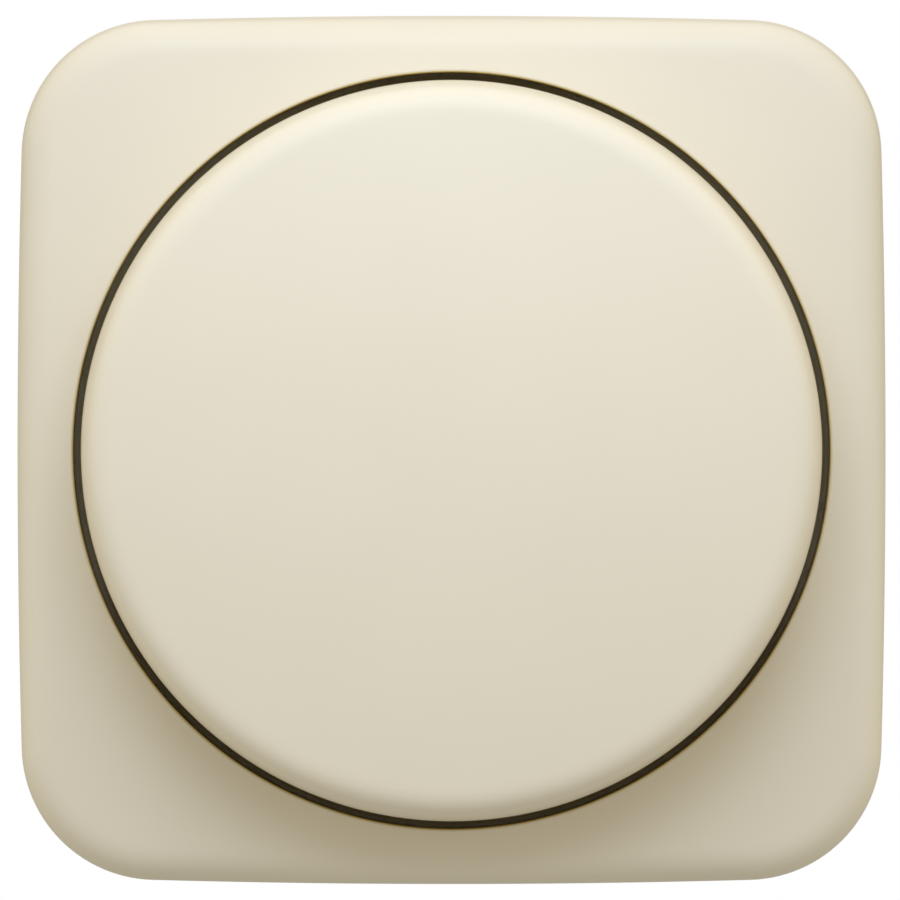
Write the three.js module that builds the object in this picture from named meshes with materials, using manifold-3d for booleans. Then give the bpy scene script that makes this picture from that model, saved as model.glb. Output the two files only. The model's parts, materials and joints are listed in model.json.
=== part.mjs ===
// Flush-mounted rotary wall dimmer, push on and off, for a round wall box with screws 60 mm apart.
//
// Millimetres. +X right, +Y into the wall, +Z up. The origin is on the knob's axis, in the plane of the
// wall surface, so everything with y < 0 stands in the room and everything with y > 0 sits in the box.

import * as THREE from "three";
import { LoftGeometry } from "three/addons/geometries/LoftGeometry.js";
import { mergeVertices } from "three/addons/utils/BufferGeometryUtils.js";
import Module from "manifold-3d";

const wasm = await Module();
wasm.setup();

// ---------------------------------------------------------------- driving dimensions
// Names that end in front or back are depths along Y.

const GAP = 0.3; // clearance between neighbours that would touch
const SEAT = 0.05; // clearance between faces that press on each other
const OVERCUT = 1; // how far a cutting tool runs past the face it cuts

const COVER = {
  half: 40, // centre to the middle of a side, at the wall
  bow: 0.8, // how far a side bulges between its ends
  corner: 12.4, // corner radius seen from the front
  mouthFront: -10.5, // edge of the knob opening
  shoulderFront: -10.0, // end of the edge rounding
  edge: 2.5, // radius of the edge rounding
  draft: 0.25, // how far the side wall leans in below the rounding
  wall: 2.0,
  roof: 1.8,
  rib: 1.2,
  ribBack: -3.0,
  post: 2.2, // radius of the four posts that rest on the support ring
  postPlace: 27.6,
};
const WELL = { radius: 34.75, wall: 1.5, floorFront: -5.5, floorBack: -4.0, segments: 60 };

const KNOB = {
  base: 34.05, // radius where it passes the cover
  flankTop: 33.35, // radius where the flank meets the edge rounding
  edge: 2.0,
  front: -22, // crown of the face
  crown: 1.0,
  skirtBack: -7.9,
  wall: 2.0,
  rib: 1.2,
  ribFront: -19.5,
  ribBack: -16.2,
  ribs: 6,
  segments: 60,
};
const HUB = { radius: 4.8, back: -12.3, play: 0.1 };
const CLIP = { play: 0.2, thickness: 0.5, front: -15.6, back: -12.8, slit: 4.8 };
const SHAFT = { radius: 3.0, flat: 1.65, front: -19.2, shoulder: 3.0, square: 3.6, back: 9.1 };
const CIRCLIP = { front: 2.0, back: 2.8, depth: 0.5, reach: 1.2, slit: 3.2 };
const NECK = { radius: 5.0, root: 4.6, bore: 3.25, front: -10.0, pitch: 1.0 };
const FLANGE = { radius: 7.5, front: 0.4 };
const NUT = { radius: 9.5, height: 3.4, notch: 2.4, notchDepth: 1.6, rim: 1.0 };

const RING = { half: 35.5, corner: 6, front: -1.2, back: -0.2 };
const RING_SLOT = { radius: 30, half: 2.2, spread: 17 }; // spread in degrees each side of the middle
const RING_PAD = { x: 31, z: 28, half: 2 }; // embossed pads that touch the wall at y = 0
const RING_HOLE = { x: 22.5, z: 30.5, radius: 1.6 };
const APERTURE = { x: 16.0, z: 17.5, corner: 2 };
const LID = { x: 18, z: 23.4, corner: 3, front: -2.6, stepFront: -2.1, back: 0.3 };

const HOUSING = { x: 22, z: 24, chamfer: 8, front: 0.35, back: 22, wall: 1.6, postBack: 7.6 };
const CLAW_BAY = { x: 18, z: 6.6 }; // the housing is narrower here, to leave room for a claw
const VENT = { count: 7, pitch: 3.6, width: 1.4, low: -7, high: 9 };
const DIVIDER = { front: 8, thickness: 1.2, z: -11, halfLength: 18.5, low: -23.2 };

const LID_SCREW = { x: 13.5, z: 20.2, shank: 1.3, length: 9.6, head: 2.5, height: 1.1, recess: 3.0 };
const CLAW_SCREW = { x: 21.5, shank: 1.75, length: 20.7, head: 3.0, height: 1.5, recess: 4.2 };
const CLAW_NUT = { inner: 2.8, outer: 2.6, front: 15.0, back: 18.0, half: 3.6 };
const NUT_EAR = { width: 1.0, front: 15.3, back: 17.7 };
const CLAW = { x: 25.7, y: 16.5, knuckle: 1.1, length: 8.5, half: 4.4, inner: 0.5 };
const CLAW_NECK = { half: 2.4, front: 14.0 };
const CLAW_TOOTH = { thickness: 0.7, hook: 2.2, height: 1.2, notch: 1.4, notchStart: 1.0 };

const POT = { outer: 8.5, inner: 7.2, front: 1.1, floor: 2.0, back: 7.4 };
const WIPER = { radius: 6.6, front: 5.4, back: 6.4, play: 0.2 };
const BRUSH = { width: 1.6, low: 3.4, high: 6.2, back: 7.2 };
const TRACK = { radius: 8.4, hole: 2.9, front: 7.5, back: 8.2, tab: 6, tabLow: -10 };
const TRACK_PIN = { pitch: 4.5, width: 0.6, low: -8.0 };
const SWITCH = { x: 7.5, z: 7.0, wall: 1.2, front: 8.3, back: 14.9 };
const PLUNGER = { radius: 2.4, front: 9.2, back: 10.3, peg: 1.2, pegBack: 11.6, arm: 4.6, armHalf: 1.0 };
const BRIDGE = { x: 5.2, z: 2.3, front: 10.4, back: 10.8, hole: 1.4 };
const CONTACT = { inner: 3.4, outer: 5.0, foot: 6.1, front: 12.85, back: 13.6, footFront: 13.2, half: 1.0 };
const SPRING = { radius: 1.9, wire: 0.2, front: 11.1, back: 13.4, turns: 3.5, steps: 42 };

const BOARD = { x: 19.4, waist: 16, waistHalf: 8.9, low: -9.8, high: 11.8, front: 15.0, back: 16.6 };
const CHOKE = { x: -13.1, y: 8.2, inner: 3.5, outer: 5.8, half: 1.9, coil: 0.7, play: 0.15, opening: 2.2 };
const CAPACITOR = { x: 13.2, y: 9.5, z: -1.4, width: 5.0, depth: 10.6, height: 12.0 };
const SPREADER = { x: 15.5, low: -16.4, high: 16.8, front: 0.5, back: 1.4, hole: 9, trimmerHole: 2.6 };
const TRANSISTOR = { low: 5.4, high: 15.2, front: 1.55, back: 5.9, bottom: 8.6, top: 16.4 };
const LEAD = { pitch: 2.5, width: 0.8, thickness: 0.6, front: 4.0, reach: 1.4 };
const SPRING_CLIP = { x: 4.3, thickness: 0.8, bladeFront: 6.0, bladeBack: 6.6, low: 10, high: 15 };
const TRIMMER = { x: -11.8, z: 12.6, radius: 1.9, body: 3.2, bodyFront: 1.6, bodyBack: 6.0, slot: 0.6 };

const TERMINAL = { pitch: 11, z: -17.3, hole: 3.2, wireHalf: 2.6, wireFront: 8.8, wireBack: 12.8 };
const TERMINAL_SCREW = { seat: 19.0, shank: 1.6, length: 6.25, head: 2.8, height: 2.2, recess: 4.2 };
const CAGE = { x: 3.8, z: 3.0, front: 8.2, back: 16.4, wall: 0.9 };
const BUSBAR = { x: 2.5, front: 11.6, back: 12.6, low: -2.9, high: 8.5, tail: 0.6 };

const FUSE = { y: 17.2, z: 17.7, radius: 2.5, half: 10, cap: 5, capWall: 0.15, glass: 2.3, bore: 1.7 };
const FUSE_CLIP = { x: 7.7, half: 1.3, grip: 2.6, sheet: 0.4, front: -3.4, back: 1.6 };
const CLIP_PIN = { low: -7.5, height: 0.6, half: 0.5 };
const DRAWER = { x: 14.4, z: 3.5, faceFront: 3.3, faceBack: 4.7 };
const DRAWER_ARM = { x: 11.4, half: 0.8, front: -3.6, z: 3.1 };
const SADDLE = { x: 4, z: 2.3 };
const GRIP = { x: 5, rib: 0.7, scoop: 1.6, scoopFront: 4.0, back: 4.8 };

const RIGHT_ANGLE = Math.PI / 2;
const SIDES = [1, -1];
const CORNERS = [[1, 1], [-1, 1], [-1, -1], [1, -1]];

// ---------------------------------------------------------------- solids from three.js shapes

function solid(geometry) {
  const bare = geometry.index ? geometry.toNonIndexed() : geometry.clone();
  bare.deleteAttribute("normal");
  bare.deleteAttribute("uv");
  const merged = mergeVertices(bare, 1e-4);
  const triVerts = new Uint32Array(merged.index.array);
  const vertProperties = merged.attributes.position.array;
  const made = new wasm.Manifold(new wasm.Mesh({ numProp: 3, vertProperties, triVerts }));
  if (made.volume() > 0) return made;
  // faces that point inwards are turned round
  for (let i = 0; i < triVerts.length; i += 3) {
    [triVerts[i], triVerts[i + 1]] = [triVerts[i + 1], triVerts[i]];
  }
  return new wasm.Manifold(new wasm.Mesh({ numProp: 3, vertProperties, triVerts }));
}

function geometryOf(shape) {
  const mesh = shape.getMesh();
  return new THREE.BufferGeometry()
    .setAttribute("position", new THREE.BufferAttribute(new Float32Array(mesh.vertProperties), 3))
    .setIndex(new THREE.BufferAttribute(mesh.triVerts, 1));
}

const join = (...shapes) => shapes.reduce((sum, shape) => sum.add(shape));
const cut = (shape, ...tools) => tools.reduce((left, tool) => left.subtract(tool), shape);

// A box from its low and high limit on each axis.
function block([x0, x1], [y0, y1], [z0, z1]) {
  const box = new THREE.BoxGeometry(x1 - x0, y1 - y0, z1 - z0);
  return solid(box.translate((x0 + x1) / 2, (y0 + y1) / 2, (z0 + z1) / 2));
}

// The limits of a stretch of the given half-width round a middle.
const around = (middle, half) => [middle - half, middle + half];

// A cylinder along Y between two depths, at (x, z).
function rod(radius, [y0, y1], x = 0, z = 0, segments = 24) {
  const cylinder = new THREE.CylinderGeometry(radius, radius, y1 - y0, segments);
  return solid(cylinder.translate(x, (y0 + y1) / 2, z));
}

// The tool for a round hole along Y that runs through everything between two depths.
function drill(radius, [y0, y1], x = 0, z = 0, segments = 12) {
  return rod(radius, [y0 - OVERCUT, y1 + OVERCUT], x, z, segments);
}

function tube(inner, outer, span, segments = 24) {
  return cut(rod(outer, span, 0, 0, segments), drill(inner, span, 0, 0, segments));
}

// A cylinder along X between two limits.
function crossRod(radius, [x0, x1], segments = 16) {
  const cylinder = new THREE.CylinderGeometry(radius, radius, x1 - x0, segments);
  return solid(cylinder.rotateZ(RIGHT_ANGLE).translate((x0 + x1) / 2, 0, 0));
}

// A solid of revolution about Y, from [radius, depth] pairs.
function turned(profile, segments) {
  const points = profile.map(([radius, y]) => new THREE.Vector2(radius, y));
  return solid(new THREE.LatheGeometry(points, segments));
}

// A flat outline in the XZ plane, given depth along Y.
function plate(shape, [y0, y1], curveSegments = 4) {
  const options = { depth: y1 - y0, bevelEnabled: false, curveSegments };
  return solid(new THREE.ExtrudeGeometry(shape, options).rotateX(RIGHT_ANGLE).translate(0, y1, 0));
}

const polygon = (points) => new THREE.Shape(points.map(([x, z]) => new THREE.Vector2(x, z)));

function roundedRectangle(halfX, halfZ, radius, Kind = THREE.Shape) {
  const path = new Kind();
  CORNERS.forEach(([sx, sz], i) => {
    const start = i * RIGHT_ANGLE;
    path.absarc(sx * (halfX - radius), sz * (halfZ - radius), radius, start, start + RIGHT_ANGLE);
  });
  return path;
}

const spin = (shape, degrees) => shape.rotate([0, degrees, 0]);

// A screw along Y: its head's underside is at y = 0, and its shank runs towards +Y.
function crossHeadScrew({ shank, length, head, height, recess }) {
  const barWidth = recess / 4.5;
  const barDepth = [-height - OVERCUT, -height * 0.5];
  const bar = block(around(0, recess / 2), barDepth, around(0, barWidth / 2));
  const body = rod(head, [-height, 0], 0, 0, 18).add(rod(shank, [-height / 2, length], 0, 0, 12));
  return cut(body, bar, spin(bar, 90));
}

// ---------------------------------------------------------------- cover plate

// The cover seen from the front: four bowed sides joined by corner arcs, moved inwards by offset.
function coverOutline(offset, sideSegments = 6, cornerSegments = 6) {
  const { half, bow, corner } = COVER;
  const sideRadius = (half * half + bow * bow) / (2 * bow);
  const sideCentre = half - sideRadius;
  const reach = sideRadius - corner;
  const k = (sideCentre + Math.sqrt(2 * reach * reach - sideCentre * sideCentre)) / 2;
  const turn = Math.atan2(k, k - sideCentre);
  const side = new THREE.EllipseCurve(
    sideCentre, 0, sideRadius - offset, sideRadius - offset, -turn, turn,
  );
  const bend = new THREE.EllipseCurve(
    k, k, corner - offset, corner - offset, turn, RIGHT_ANGLE - turn,
  );
  const quarter = [
    ...side.getPoints(sideSegments).slice(0, -1),
    ...bend.getPoints(cornerSegments).slice(0, -1),
  ];
  const centre = new THREE.Vector2();
  return [0, 1, 2, 3].flatMap((n) => {
    return quarter.map((point) => point.clone().rotateAround(centre, n * RIGHT_ANGLE));
  });
}

const atDepth = (points, y) => points.map((point) => new THREE.Vector3(point.x, y, point.y));

function loft(sections) {
  return solid(new LoftGeometry(sections, { capStart: true, capEnd: true }));
}

// Side wall, rounded edge, then a shallow slope that rises to the round opening.
function coverSkin() {
  const { shoulderFront, mouthFront, edge, draft } = COVER;
  const bendSteps = 4;
  const slopeSteps = 3;
  const sections = [atDepth(coverOutline(0), 0)];
  for (let i = 0; i <= bendSteps; i++) {
    const turn = (i / bendSteps) * RIGHT_ANGLE;
    const outline = coverOutline(draft + edge * (1 - Math.cos(turn)));
    sections.push(atDepth(outline, shoulderFront + edge * (1 - Math.sin(turn))));
  }
  const rim = coverOutline(draft + edge);
  for (let i = 1; i <= slopeSteps; i++) {
    const share = i / slopeSteps;
    const rise = (mouthFront - shoulderFront) * Math.sin(share * RIGHT_ANGLE);
    const ring = rim.map((point) => {
      return point.clone().lerp(point.clone().setLength(WELL.radius + GAP), share);
    });
    sections.push(atDepth(ring, shoulderFront + rise));
  }
  return loft(sections);
}

// The hollow behind the cover, less the knob's well, four ribs and the posts they carry.
function coverCavity() {
  const { wall, roof, draft, shoulderFront, mouthFront, postPlace } = COVER;
  const ceiling = shoulderFront + roof;
  const wellOutside = WELL.radius + WELL.wall;
  const chamfer = 1;
  const hollow = loft([
    atDepth(coverOutline(wall), OVERCUT),
    atDepth(coverOutline(wall + draft), ceiling + chamfer),
    atDepth(coverOutline(wall + draft + chamfer), ceiling),
  ]);
  const supports = [0, 90, 180, 270].flatMap((angle) => {
    const post = rod(COVER.post, [mouthFront, RING.front - SEAT], postPlace, postPlace, 12);
    const ribSpan = [wellOutside - OVERCUT, COVER.half * Math.SQRT2];
    const rib = block(ribSpan, [mouthFront, COVER.ribBack], around(0, COVER.rib / 2));
    return [spin(post, angle), spin(rib, angle + 45)];
  });
  return cut(hollow, rod(wellOutside, [mouthFront, WELL.floorBack], 0, 0, WELL.segments), ...supports);
}

function coverPlate() {
  const { radius, floorFront, floorBack, segments } = WELL;
  const { mouthFront } = COVER;
  const bore = turned(
    [
      [0, mouthFront - OVERCUT],
      [radius + OVERCUT, mouthFront - OVERCUT],
      [radius + GAP, mouthFront],
      [radius, mouthFront + GAP],
      [radius, floorFront],
      [0, floorFront],
    ],
    segments,
  );
  const neckHole = drill(NECK.radius + 0.2, [floorFront, floorBack], 0, 0, 24);
  return cut(coverSkin(), coverCavity(), bore, neckHole);
}

// ---------------------------------------------------------------- knob

// Half of the knob's section: a crowned face, a rounded edge, a drafted flank, and a wall behind them.
function knobProfile() {
  const { base, flankTop, edge, front, crown, wall, skirtBack } = KNOB;
  const faceSteps = 3;
  const bendSteps = 4;
  const flankAngle = Math.atan2(base - flankTop, COVER.mouthFront - (front + crown + edge));
  const bendEnd = RIGHT_ANGLE - flankAngle;
  const faceRadius = flankTop - edge * Math.sin(bendEnd);
  const crownRadius = (faceRadius * faceRadius + crown * crown) / (2 * crown);
  const crownEnd = Math.asin(faceRadius / crownRadius);
  const profile = [];
  for (let i = 0; i <= faceSteps; i++) {
    const angle = (i / faceSteps) * crownEnd;
    profile.push([crownRadius * Math.sin(angle), front + crownRadius * (1 - Math.cos(angle))]);
  }
  const bendDepth = front + crown + edge * Math.cos(crownEnd);
  for (let i = 1; i <= bendSteps; i++) {
    const angle = crownEnd + (i / bendSteps) * (bendEnd - crownEnd);
    profile.push([faceRadius + edge * Math.sin(angle), bendDepth - edge * Math.cos(angle)]);
  }
  return [
    ...profile,
    [base, COVER.mouthFront],
    [base, skirtBack],
    [base - wall, skirtBack],
    [flankTop - wall, bendDepth],
    [flankTop - wall * 1.75, bendDepth - wall / 2],
    [faceRadius / 2, front + wall + crown / 4],
    [0, front + wall],
  ];
}

// The shaft's front end, with one flat side, made larger all round by play.
function flattedRod(play, [y0, y1]) {
  const radius = SHAFT.radius + play;
  const flat = [SHAFT.flat + play, radius + OVERCUT];
  return cut(rod(radius, [y0, y1]), block(around(0, radius), [y0 - OVERCUT, y1 + OVERCUT], flat));
}

function knob() {
  const { wall, front, flankTop, rib, ribFront, ribBack, ribs, segments } = KNOB;
  const hub = rod(HUB.radius, [front + wall / 2, HUB.back]);
  let made = turned(knobProfile(), segments).add(hub);
  for (let i = 0; i < ribs; i++) {
    const web = block([HUB.radius - OVERCUT, flankTop - wall / 2], [ribFront, ribBack], around(0, rib / 2));
    made = made.add(spin(web, (360 * (i + 0.5)) / ribs));
  }
  const bore = flattedRod(HUB.play, [SHAFT.front - HUB.play, HUB.back + OVERCUT]);
  return cut(made, bore);
}

function knobClip() {
  const inner = HUB.radius + CLIP.play;
  const outer = inner + CLIP.thickness;
  const slit = block(around(0, CLIP.slit / 2), [CLIP.front - 1, CLIP.back + 1], [-outer - 1, 0]);
  return cut(tube(inner, outer, [CLIP.front, CLIP.back]), slit);
}

function knobShaft() {
  const { radius, front, shoulder, square, back } = SHAFT;
  const flatEnd = HUB.back + OVERCUT;
  const groove = tube(radius - CIRCLIP.depth, radius + OVERCUT, [CIRCLIP.front, CIRCLIP.back]);
  return join(
    flattedRod(0, [front, flatEnd]),
    cut(rod(radius, [flatEnd, shoulder]), groove),
    block(around(0, square / 2), [shoulder, back], around(0, square / 2)),
  );
}

function shaftCirclip() {
  const play = 0.1;
  const span = [CIRCLIP.front + play, CIRCLIP.back - play];
  const outer = SHAFT.radius + CIRCLIP.reach;
  const slit = block(around(0, CIRCLIP.slit / 2), [span[0] - 1, span[1] + 1], [-outer - 1, 0]);
  return cut(tube(SHAFT.radius - CIRCLIP.depth + play, outer, span), slit);
}

// The neck's flange sits behind the lid, and the nut on its thread holds the cover from the front.
function threadedNeck() {
  const { radius, root, bore, front, pitch } = NECK;
  const flangeBack = POT.front - 0.1;
  const profile = [
    [bore, flangeBack],
    [FLANGE.radius, flangeBack],
    [FLANGE.radius, FLANGE.front],
    [radius, FLANGE.front],
  ];
  for (let y = WELL.floorFront + pitch / 2; y > front + pitch; y -= pitch) {
    profile.push([radius, y], [root, y - pitch / 2]);
  }
  profile.push([radius, front + pitch / 2], [root, front], [bore, front], [bore, flangeBack]);
  return turned(profile, 20);
}

function retainingNut() {
  const { radius, height, notch, notchDepth, rim } = NUT;
  const back = WELL.floorFront - 3 * SEAT;
  const span = [back - height, back];
  let made = tube(NECK.radius + 3 * SEAT, radius, span, 36);
  for (let i = 0; i < 4; i++) {
    const tool = block([radius - notchDepth, radius + 1], [span[0] - 1, back - rim], around(0, notch / 2));
    made = made.subtract(spin(tool, 90 * i));
  }
  return made;
}

// ---------------------------------------------------------------- insert: ring, lid and housing

// A slot that follows a circle about the axis, between two angles, as a hole in a plate.
function arcSlot({ radius, half }, from, to) {
  const hole = new THREE.Path();
  hole.absarc(0, 0, radius + half, from, to);
  hole.absarc(radius * Math.cos(to), radius * Math.sin(to), half, to, to + Math.PI);
  hole.absarc(0, 0, radius - half, to, from, true);
  const end = from + Math.PI;
  hole.absarc(radius * Math.cos(from), radius * Math.sin(from), half, end, end + Math.PI);
  return hole;
}

function supportRing() {
  const { half, corner, front, back } = RING;
  const shape = roundedRectangle(half, half, corner);
  const spread = THREE.MathUtils.degToRad(RING_SLOT.spread);
  shape.holes.push(roundedRectangle(APERTURE.x, APERTURE.z, APERTURE.corner, THREE.Path));
  for (let i = 0; i < 4; i++) {
    const middle = i * RIGHT_ANGLE;
    shape.holes.push(arcSlot(RING_SLOT, middle - spread, middle + spread));
  }
  let made = plate(shape, [front, back], 5);
  for (const side of SIDES) {
    made = made.subtract(drill(CLAW_SCREW.shank + GAP, [front, back], side * CLAW_SCREW.x));
  }
  for (const [sx, sz] of CORNERS) {
    const pad = block(
      around(sx * RING_PAD.x, RING_PAD.half),
      [(front + back) / 2, 0],
      around(sz * RING_PAD.z, RING_PAD.half),
    );
    const screwHole = drill(LID_SCREW.shank + GAP, [front, back], sx * LID_SCREW.x, sz * LID_SCREW.z);
    const frameHole = drill(RING_HOLE.radius, [front, back], sx * RING_HOLE.x, sz * RING_HOLE.z);
    made = cut(made.add(pad), screwHole, frameHole);
  }
  return made;
}

// A flange in front of the ring, with a plug that closes the ring's aperture and the housing behind it.
function insertLid() {
  const { front, stepFront, back } = LID;
  const flange = plate(roundedRectangle(LID.x, LID.z, LID.corner), [front, RING.front - SEAT]);
  const plugShape = roundedRectangle(APERTURE.x - GAP, APERTURE.z - GAP, APERTURE.corner);
  const holes = CORNERS.map(([sx, sz]) => {
    return drill(LID_SCREW.shank + 0.2, [front, back], sx * LID_SCREW.x, sz * LID_SCREW.z);
  });
  return cut(
    flange.add(plate(plugShape, [stepFront, back])),
    drill(NECK.radius + 0.2, [front, back], 0, 0, 24),
    drill(TRIMMER.radius + GAP, [front, back], TRIMMER.x, TRIMMER.z, 20),
    ...holes,
  );
}

// An octagon with a bay at each side for a claw, moved inwards by inset.
function housingOutline(inset) {
  const x = HOUSING.x - inset;
  const z = HOUSING.z - inset;
  const c = HOUSING.chamfer - inset * (2 - Math.SQRT2);
  const bayX = CLAW_BAY.x - inset;
  const bayZ = CLAW_BAY.z + inset;
  const right = [
    [x - c, -z], [x, c - z], [x, -bayZ], [bayX, -bayZ],
    [bayX, bayZ], [x, bayZ], [x, z - c], [x - c, z],
  ];
  return polygon([...right, ...right.map(([px, pz]) => [-px, -pz])]);
}

const terminalPlaces = [-TERMINAL.pitch, 0, TERMINAL.pitch];

// Walls that part the terminals from each other and from the circuit board.
function terminalWalls(span) {
  const { thickness, z, halfLength, low } = DIVIDER;
  const shelf = block(around(0, halfLength), span, around(z, thickness / 2));
  const walls = SIDES.map((side) => {
    return block(around((side * TERMINAL.pitch) / 2, thickness / 2), span, [low, z]);
  });
  return join(shelf, ...walls);
}

// A post for a lid screw, with a web that ties it to the housing's top or bottom wall.
function screwPost(sx, sz) {
  const [x, z] = [sx * LID_SCREW.x, sz * LID_SCREW.z];
  const span = [HOUSING.front, HOUSING.postBack];
  const radius = LID_SCREW.shank * 2;
  const web = block(around(x, 0.6), span, around(sz * (HOUSING.z - HOUSING.wall - 0.6), 1.3));
  const bore = rod(LID_SCREW.shank + 0.1, [HOUSING.front - OVERCUT, HOUSING.postBack - 0.2], x, z, 12);
  return cut(rod(radius, span, x, z, 12).add(web), bore);
}

function insertHousing() {
  const { front, back, wall } = HOUSING;
  const floor = back - wall;
  const through = [floor - OVERCUT, back + OVERCUT];
  const shell = cut(
    plate(housingOutline(0), [front, back]),
    plate(housingOutline(wall), [front - OVERCUT, floor]),
  );
  const posts = CORNERS.map(([sx, sz]) => screwPost(sx, sz));
  const { hole, wireHalf, wireFront, wireBack } = TERMINAL;
  const tools = terminalPlaces.flatMap((x) => [
    drill(hole, [floor - OVERCUT, back], x, TERMINAL.z, 20),
    block(around(x, wireHalf), [wireFront, wireBack], around(-HOUSING.z, 2 * wall)),
    block(around(x, BUSBAR.x + 0.4), [BUSBAR.front - 2.2, BUSBAR.back + 0.4], around(DIVIDER.z, 1)),
  ]);
  const drawer = block(around(0, DRAWER.x + GAP), through, around(FUSE.z, DRAWER.z + GAP));
  const vents = [];
  for (let i = 0; i < VENT.count; i++) {
    const x = (i - (VENT.count - 1) / 2) * VENT.pitch;
    vents.push(block(around(x, VENT.width / 2), through, [VENT.low, VENT.high]));
  }
  const walled = join(shell, terminalWalls([DIVIDER.front, floor + wall / 2]), ...posts);
  return cut(walled, ...tools, drawer, ...vents);
}

// ---------------------------------------------------------------- spreader claw, drawn for the right side

function clawNut() {
  const { inner, outer, front, back, half } = CLAW_NUT;
  const x = CLAW_SCREW.x;
  const body = block([x - inner, x + outer], [front, back], around(0, half));
  const ears = SIDES.map((side) => {
    const middle = side * (half - NUT_EAR.width / 2);
    const reach = [x + outer - 0.2, CLAW.x + 1];
    return block(reach, [NUT_EAR.front, NUT_EAR.back], around(middle, NUT_EAR.width / 2));
  });
  return cut(join(body, ...ears), drill(CLAW_SCREW.shank + 0.1, [front, back], x, 0, 16));
}

// The blade hangs from a knuckle between the nut's ears and ends in three teeth.
function clawBlade() {
  const { x, y, knuckle, length, half, inner } = CLAW;
  const { thickness, hook, height, notch, notchStart } = CLAW_TOOTH;
  const tip = y - length;
  const sheet = [x - inner, x + thickness];
  const pivot = new THREE.CylinderGeometry(knuckle, knuckle, 2 * CLAW_NECK.half, 14);
  const made = join(
    solid(pivot.rotateX(RIGHT_ANGLE).translate(x, y, 0)),
    block(sheet, [CLAW_NECK.front, y], around(0, CLAW_NECK.half)),
    block(sheet, [tip, CLAW_NECK.front + 0.4], around(0, half)),
    block([x - inner, x + hook], [tip, tip + height], around(0, half)),
  );
  const notches = SIDES.map((side) => {
    return block([x + notchStart, x + hook + 1], [tip - 1, tip + 2], around((side * half) / 2, notch / 2));
  });
  return cut(made, ...notches);
}

// ---------------------------------------------------------------- potentiometer and push switch

function potCase() {
  const { outer, inner, front, floor, back } = POT;
  const cup = cut(rod(outer, [front, back]), rod(inner, [floor, back + OVERCUT]));
  return cut(cup, drill(NECK.bore + 0.1, [front, floor], 0, 0, 24));
}

// The wiper has a square hole for the shaft, which slides through it when the knob is pushed.
function potWiper() {
  const { radius, front, back, play } = WIPER;
  const half = SHAFT.square / 2 + play;
  const through = [front - OVERCUT, back + OVERCUT];
  const windows = SIDES.map((side) => block(around(side * 4, 1), through, around(0, 2)));
  const brush = block(around(0, BRUSH.width / 2), [back - 0.2, BRUSH.back], [BRUSH.low, BRUSH.high]);
  const hole = block(around(0, half), through, around(0, half));
  return cut(rod(radius, [front, back]).add(brush), hole, ...windows);
}

// The resistance track is printed on a wafer whose tab carries three pins to the circuit board.
function potTrack() {
  const { radius, hole, front, back, tab, tabLow } = TRACK;
  const { pitch, width, low } = TRACK_PIN;
  const pins = [-pitch, 0, pitch].map((x) => {
    return block(around(x, width / 2), [back - 0.2, BOARD.front - 0.1], [low, low + width]);
  });
  const wafer = cut(rod(radius, [front, back]), drill(hole, [front, back], 0, 0, 24));
  return join(wafer, block(around(0, tab), [front, back], [tabLow, -tab]), ...pins);
}

function switchCase() {
  const { x, z, wall, front, back } = SWITCH;
  return cut(
    block(around(0, x), [front, back], around(0, z)),
    block(around(0, x - wall), [front - OVERCUT, back - wall], around(0, z - wall)),
  );
}

function switchPlunger() {
  const { radius, front, back, peg, pegBack, arm, armHalf } = PLUNGER;
  return join(
    rod(radius, [front, back], 0, 0, 20),
    rod(peg, [back - 0.1, pegBack], 0, 0, 12),
    block(around(0, arm), [front, back], around(0, armHalf)),
  );
}

// Rides on the plunger and joins the two fixed contacts when the knob is pushed.
function contactBridge() {
  const { x, z, front, back, hole } = BRIDGE;
  return cut(block(around(0, x), [front, back], around(0, z)), drill(hole, [front, back]));
}

function fixedContact() {
  const { inner, outer, foot, front, back, footFront, half } = CONTACT;
  return join(
    block([inner, outer], [front, footFront + 0.2], around(0, half)),
    block([inner, foot], [footFront, back], around(0, half)),
  );
}

class HelixCurve extends THREE.Curve {
  constructor({ radius, front, back, turns }) {
    super();
    Object.assign(this, { radius, front, back, turns });
  }

  getPoint(t, target = new THREE.Vector3()) {
    const angle = t * this.turns * 2 * Math.PI;
    const y = THREE.MathUtils.lerp(this.front, this.back, t);
    return target.set(this.radius * Math.cos(angle), y, this.radius * Math.sin(angle));
  }
}

function switchSpring() {
  const wire = new THREE.Shape().absarc(0, 0, SPRING.wire, 0, 2 * Math.PI);
  const options = { steps: SPRING.steps, curveSegments: 3, extrudePath: new HelixCurve(SPRING) };
  return solid(new THREE.ExtrudeGeometry(wire, options));
}

// ---------------------------------------------------------------- board and power parts

function circuitBoard() {
  const { x, waist, waistHalf, low, high, front, back } = BOARD;
  const right = [
    [x, low], [x, -waistHalf], [waist, -waistHalf],
    [waist, waistHalf], [x, waistHalf], [x, high],
  ];
  const left = right.map(([px, pz]) => [-px, pz]).reverse();
  return plate(polygon([...right, ...left]), [front, back]);
}

// A ring of rectangular section with its axis along X.
function uprightRing(inner, outer, half) {
  const section = [[inner, -half], [outer, -half], [outer, half], [inner, half], [inner, -half]];
  const points = section.map(([radius, along]) => new THREE.Vector2(radius, along));
  return solid(new THREE.LatheGeometry(points, 20).rotateZ(RIGHT_ANGLE));
}

const chokeCore = () => uprightRing(CHOKE.inner, CHOKE.outer, CHOKE.half);

// One sleeve stands for the turns of wire; it leaves the core bare on the side next to the board.
function chokeWinding() {
  const { inner, outer, half, coil, play, opening } = CHOKE;
  return cut(
    uprightRing(inner - coil, outer + coil, half + coil),
    uprightRing(inner - play, outer + play, half + play),
    block(around(0, half + 2), [0, outer + 2], around(0, opening)),
  );
}

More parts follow.
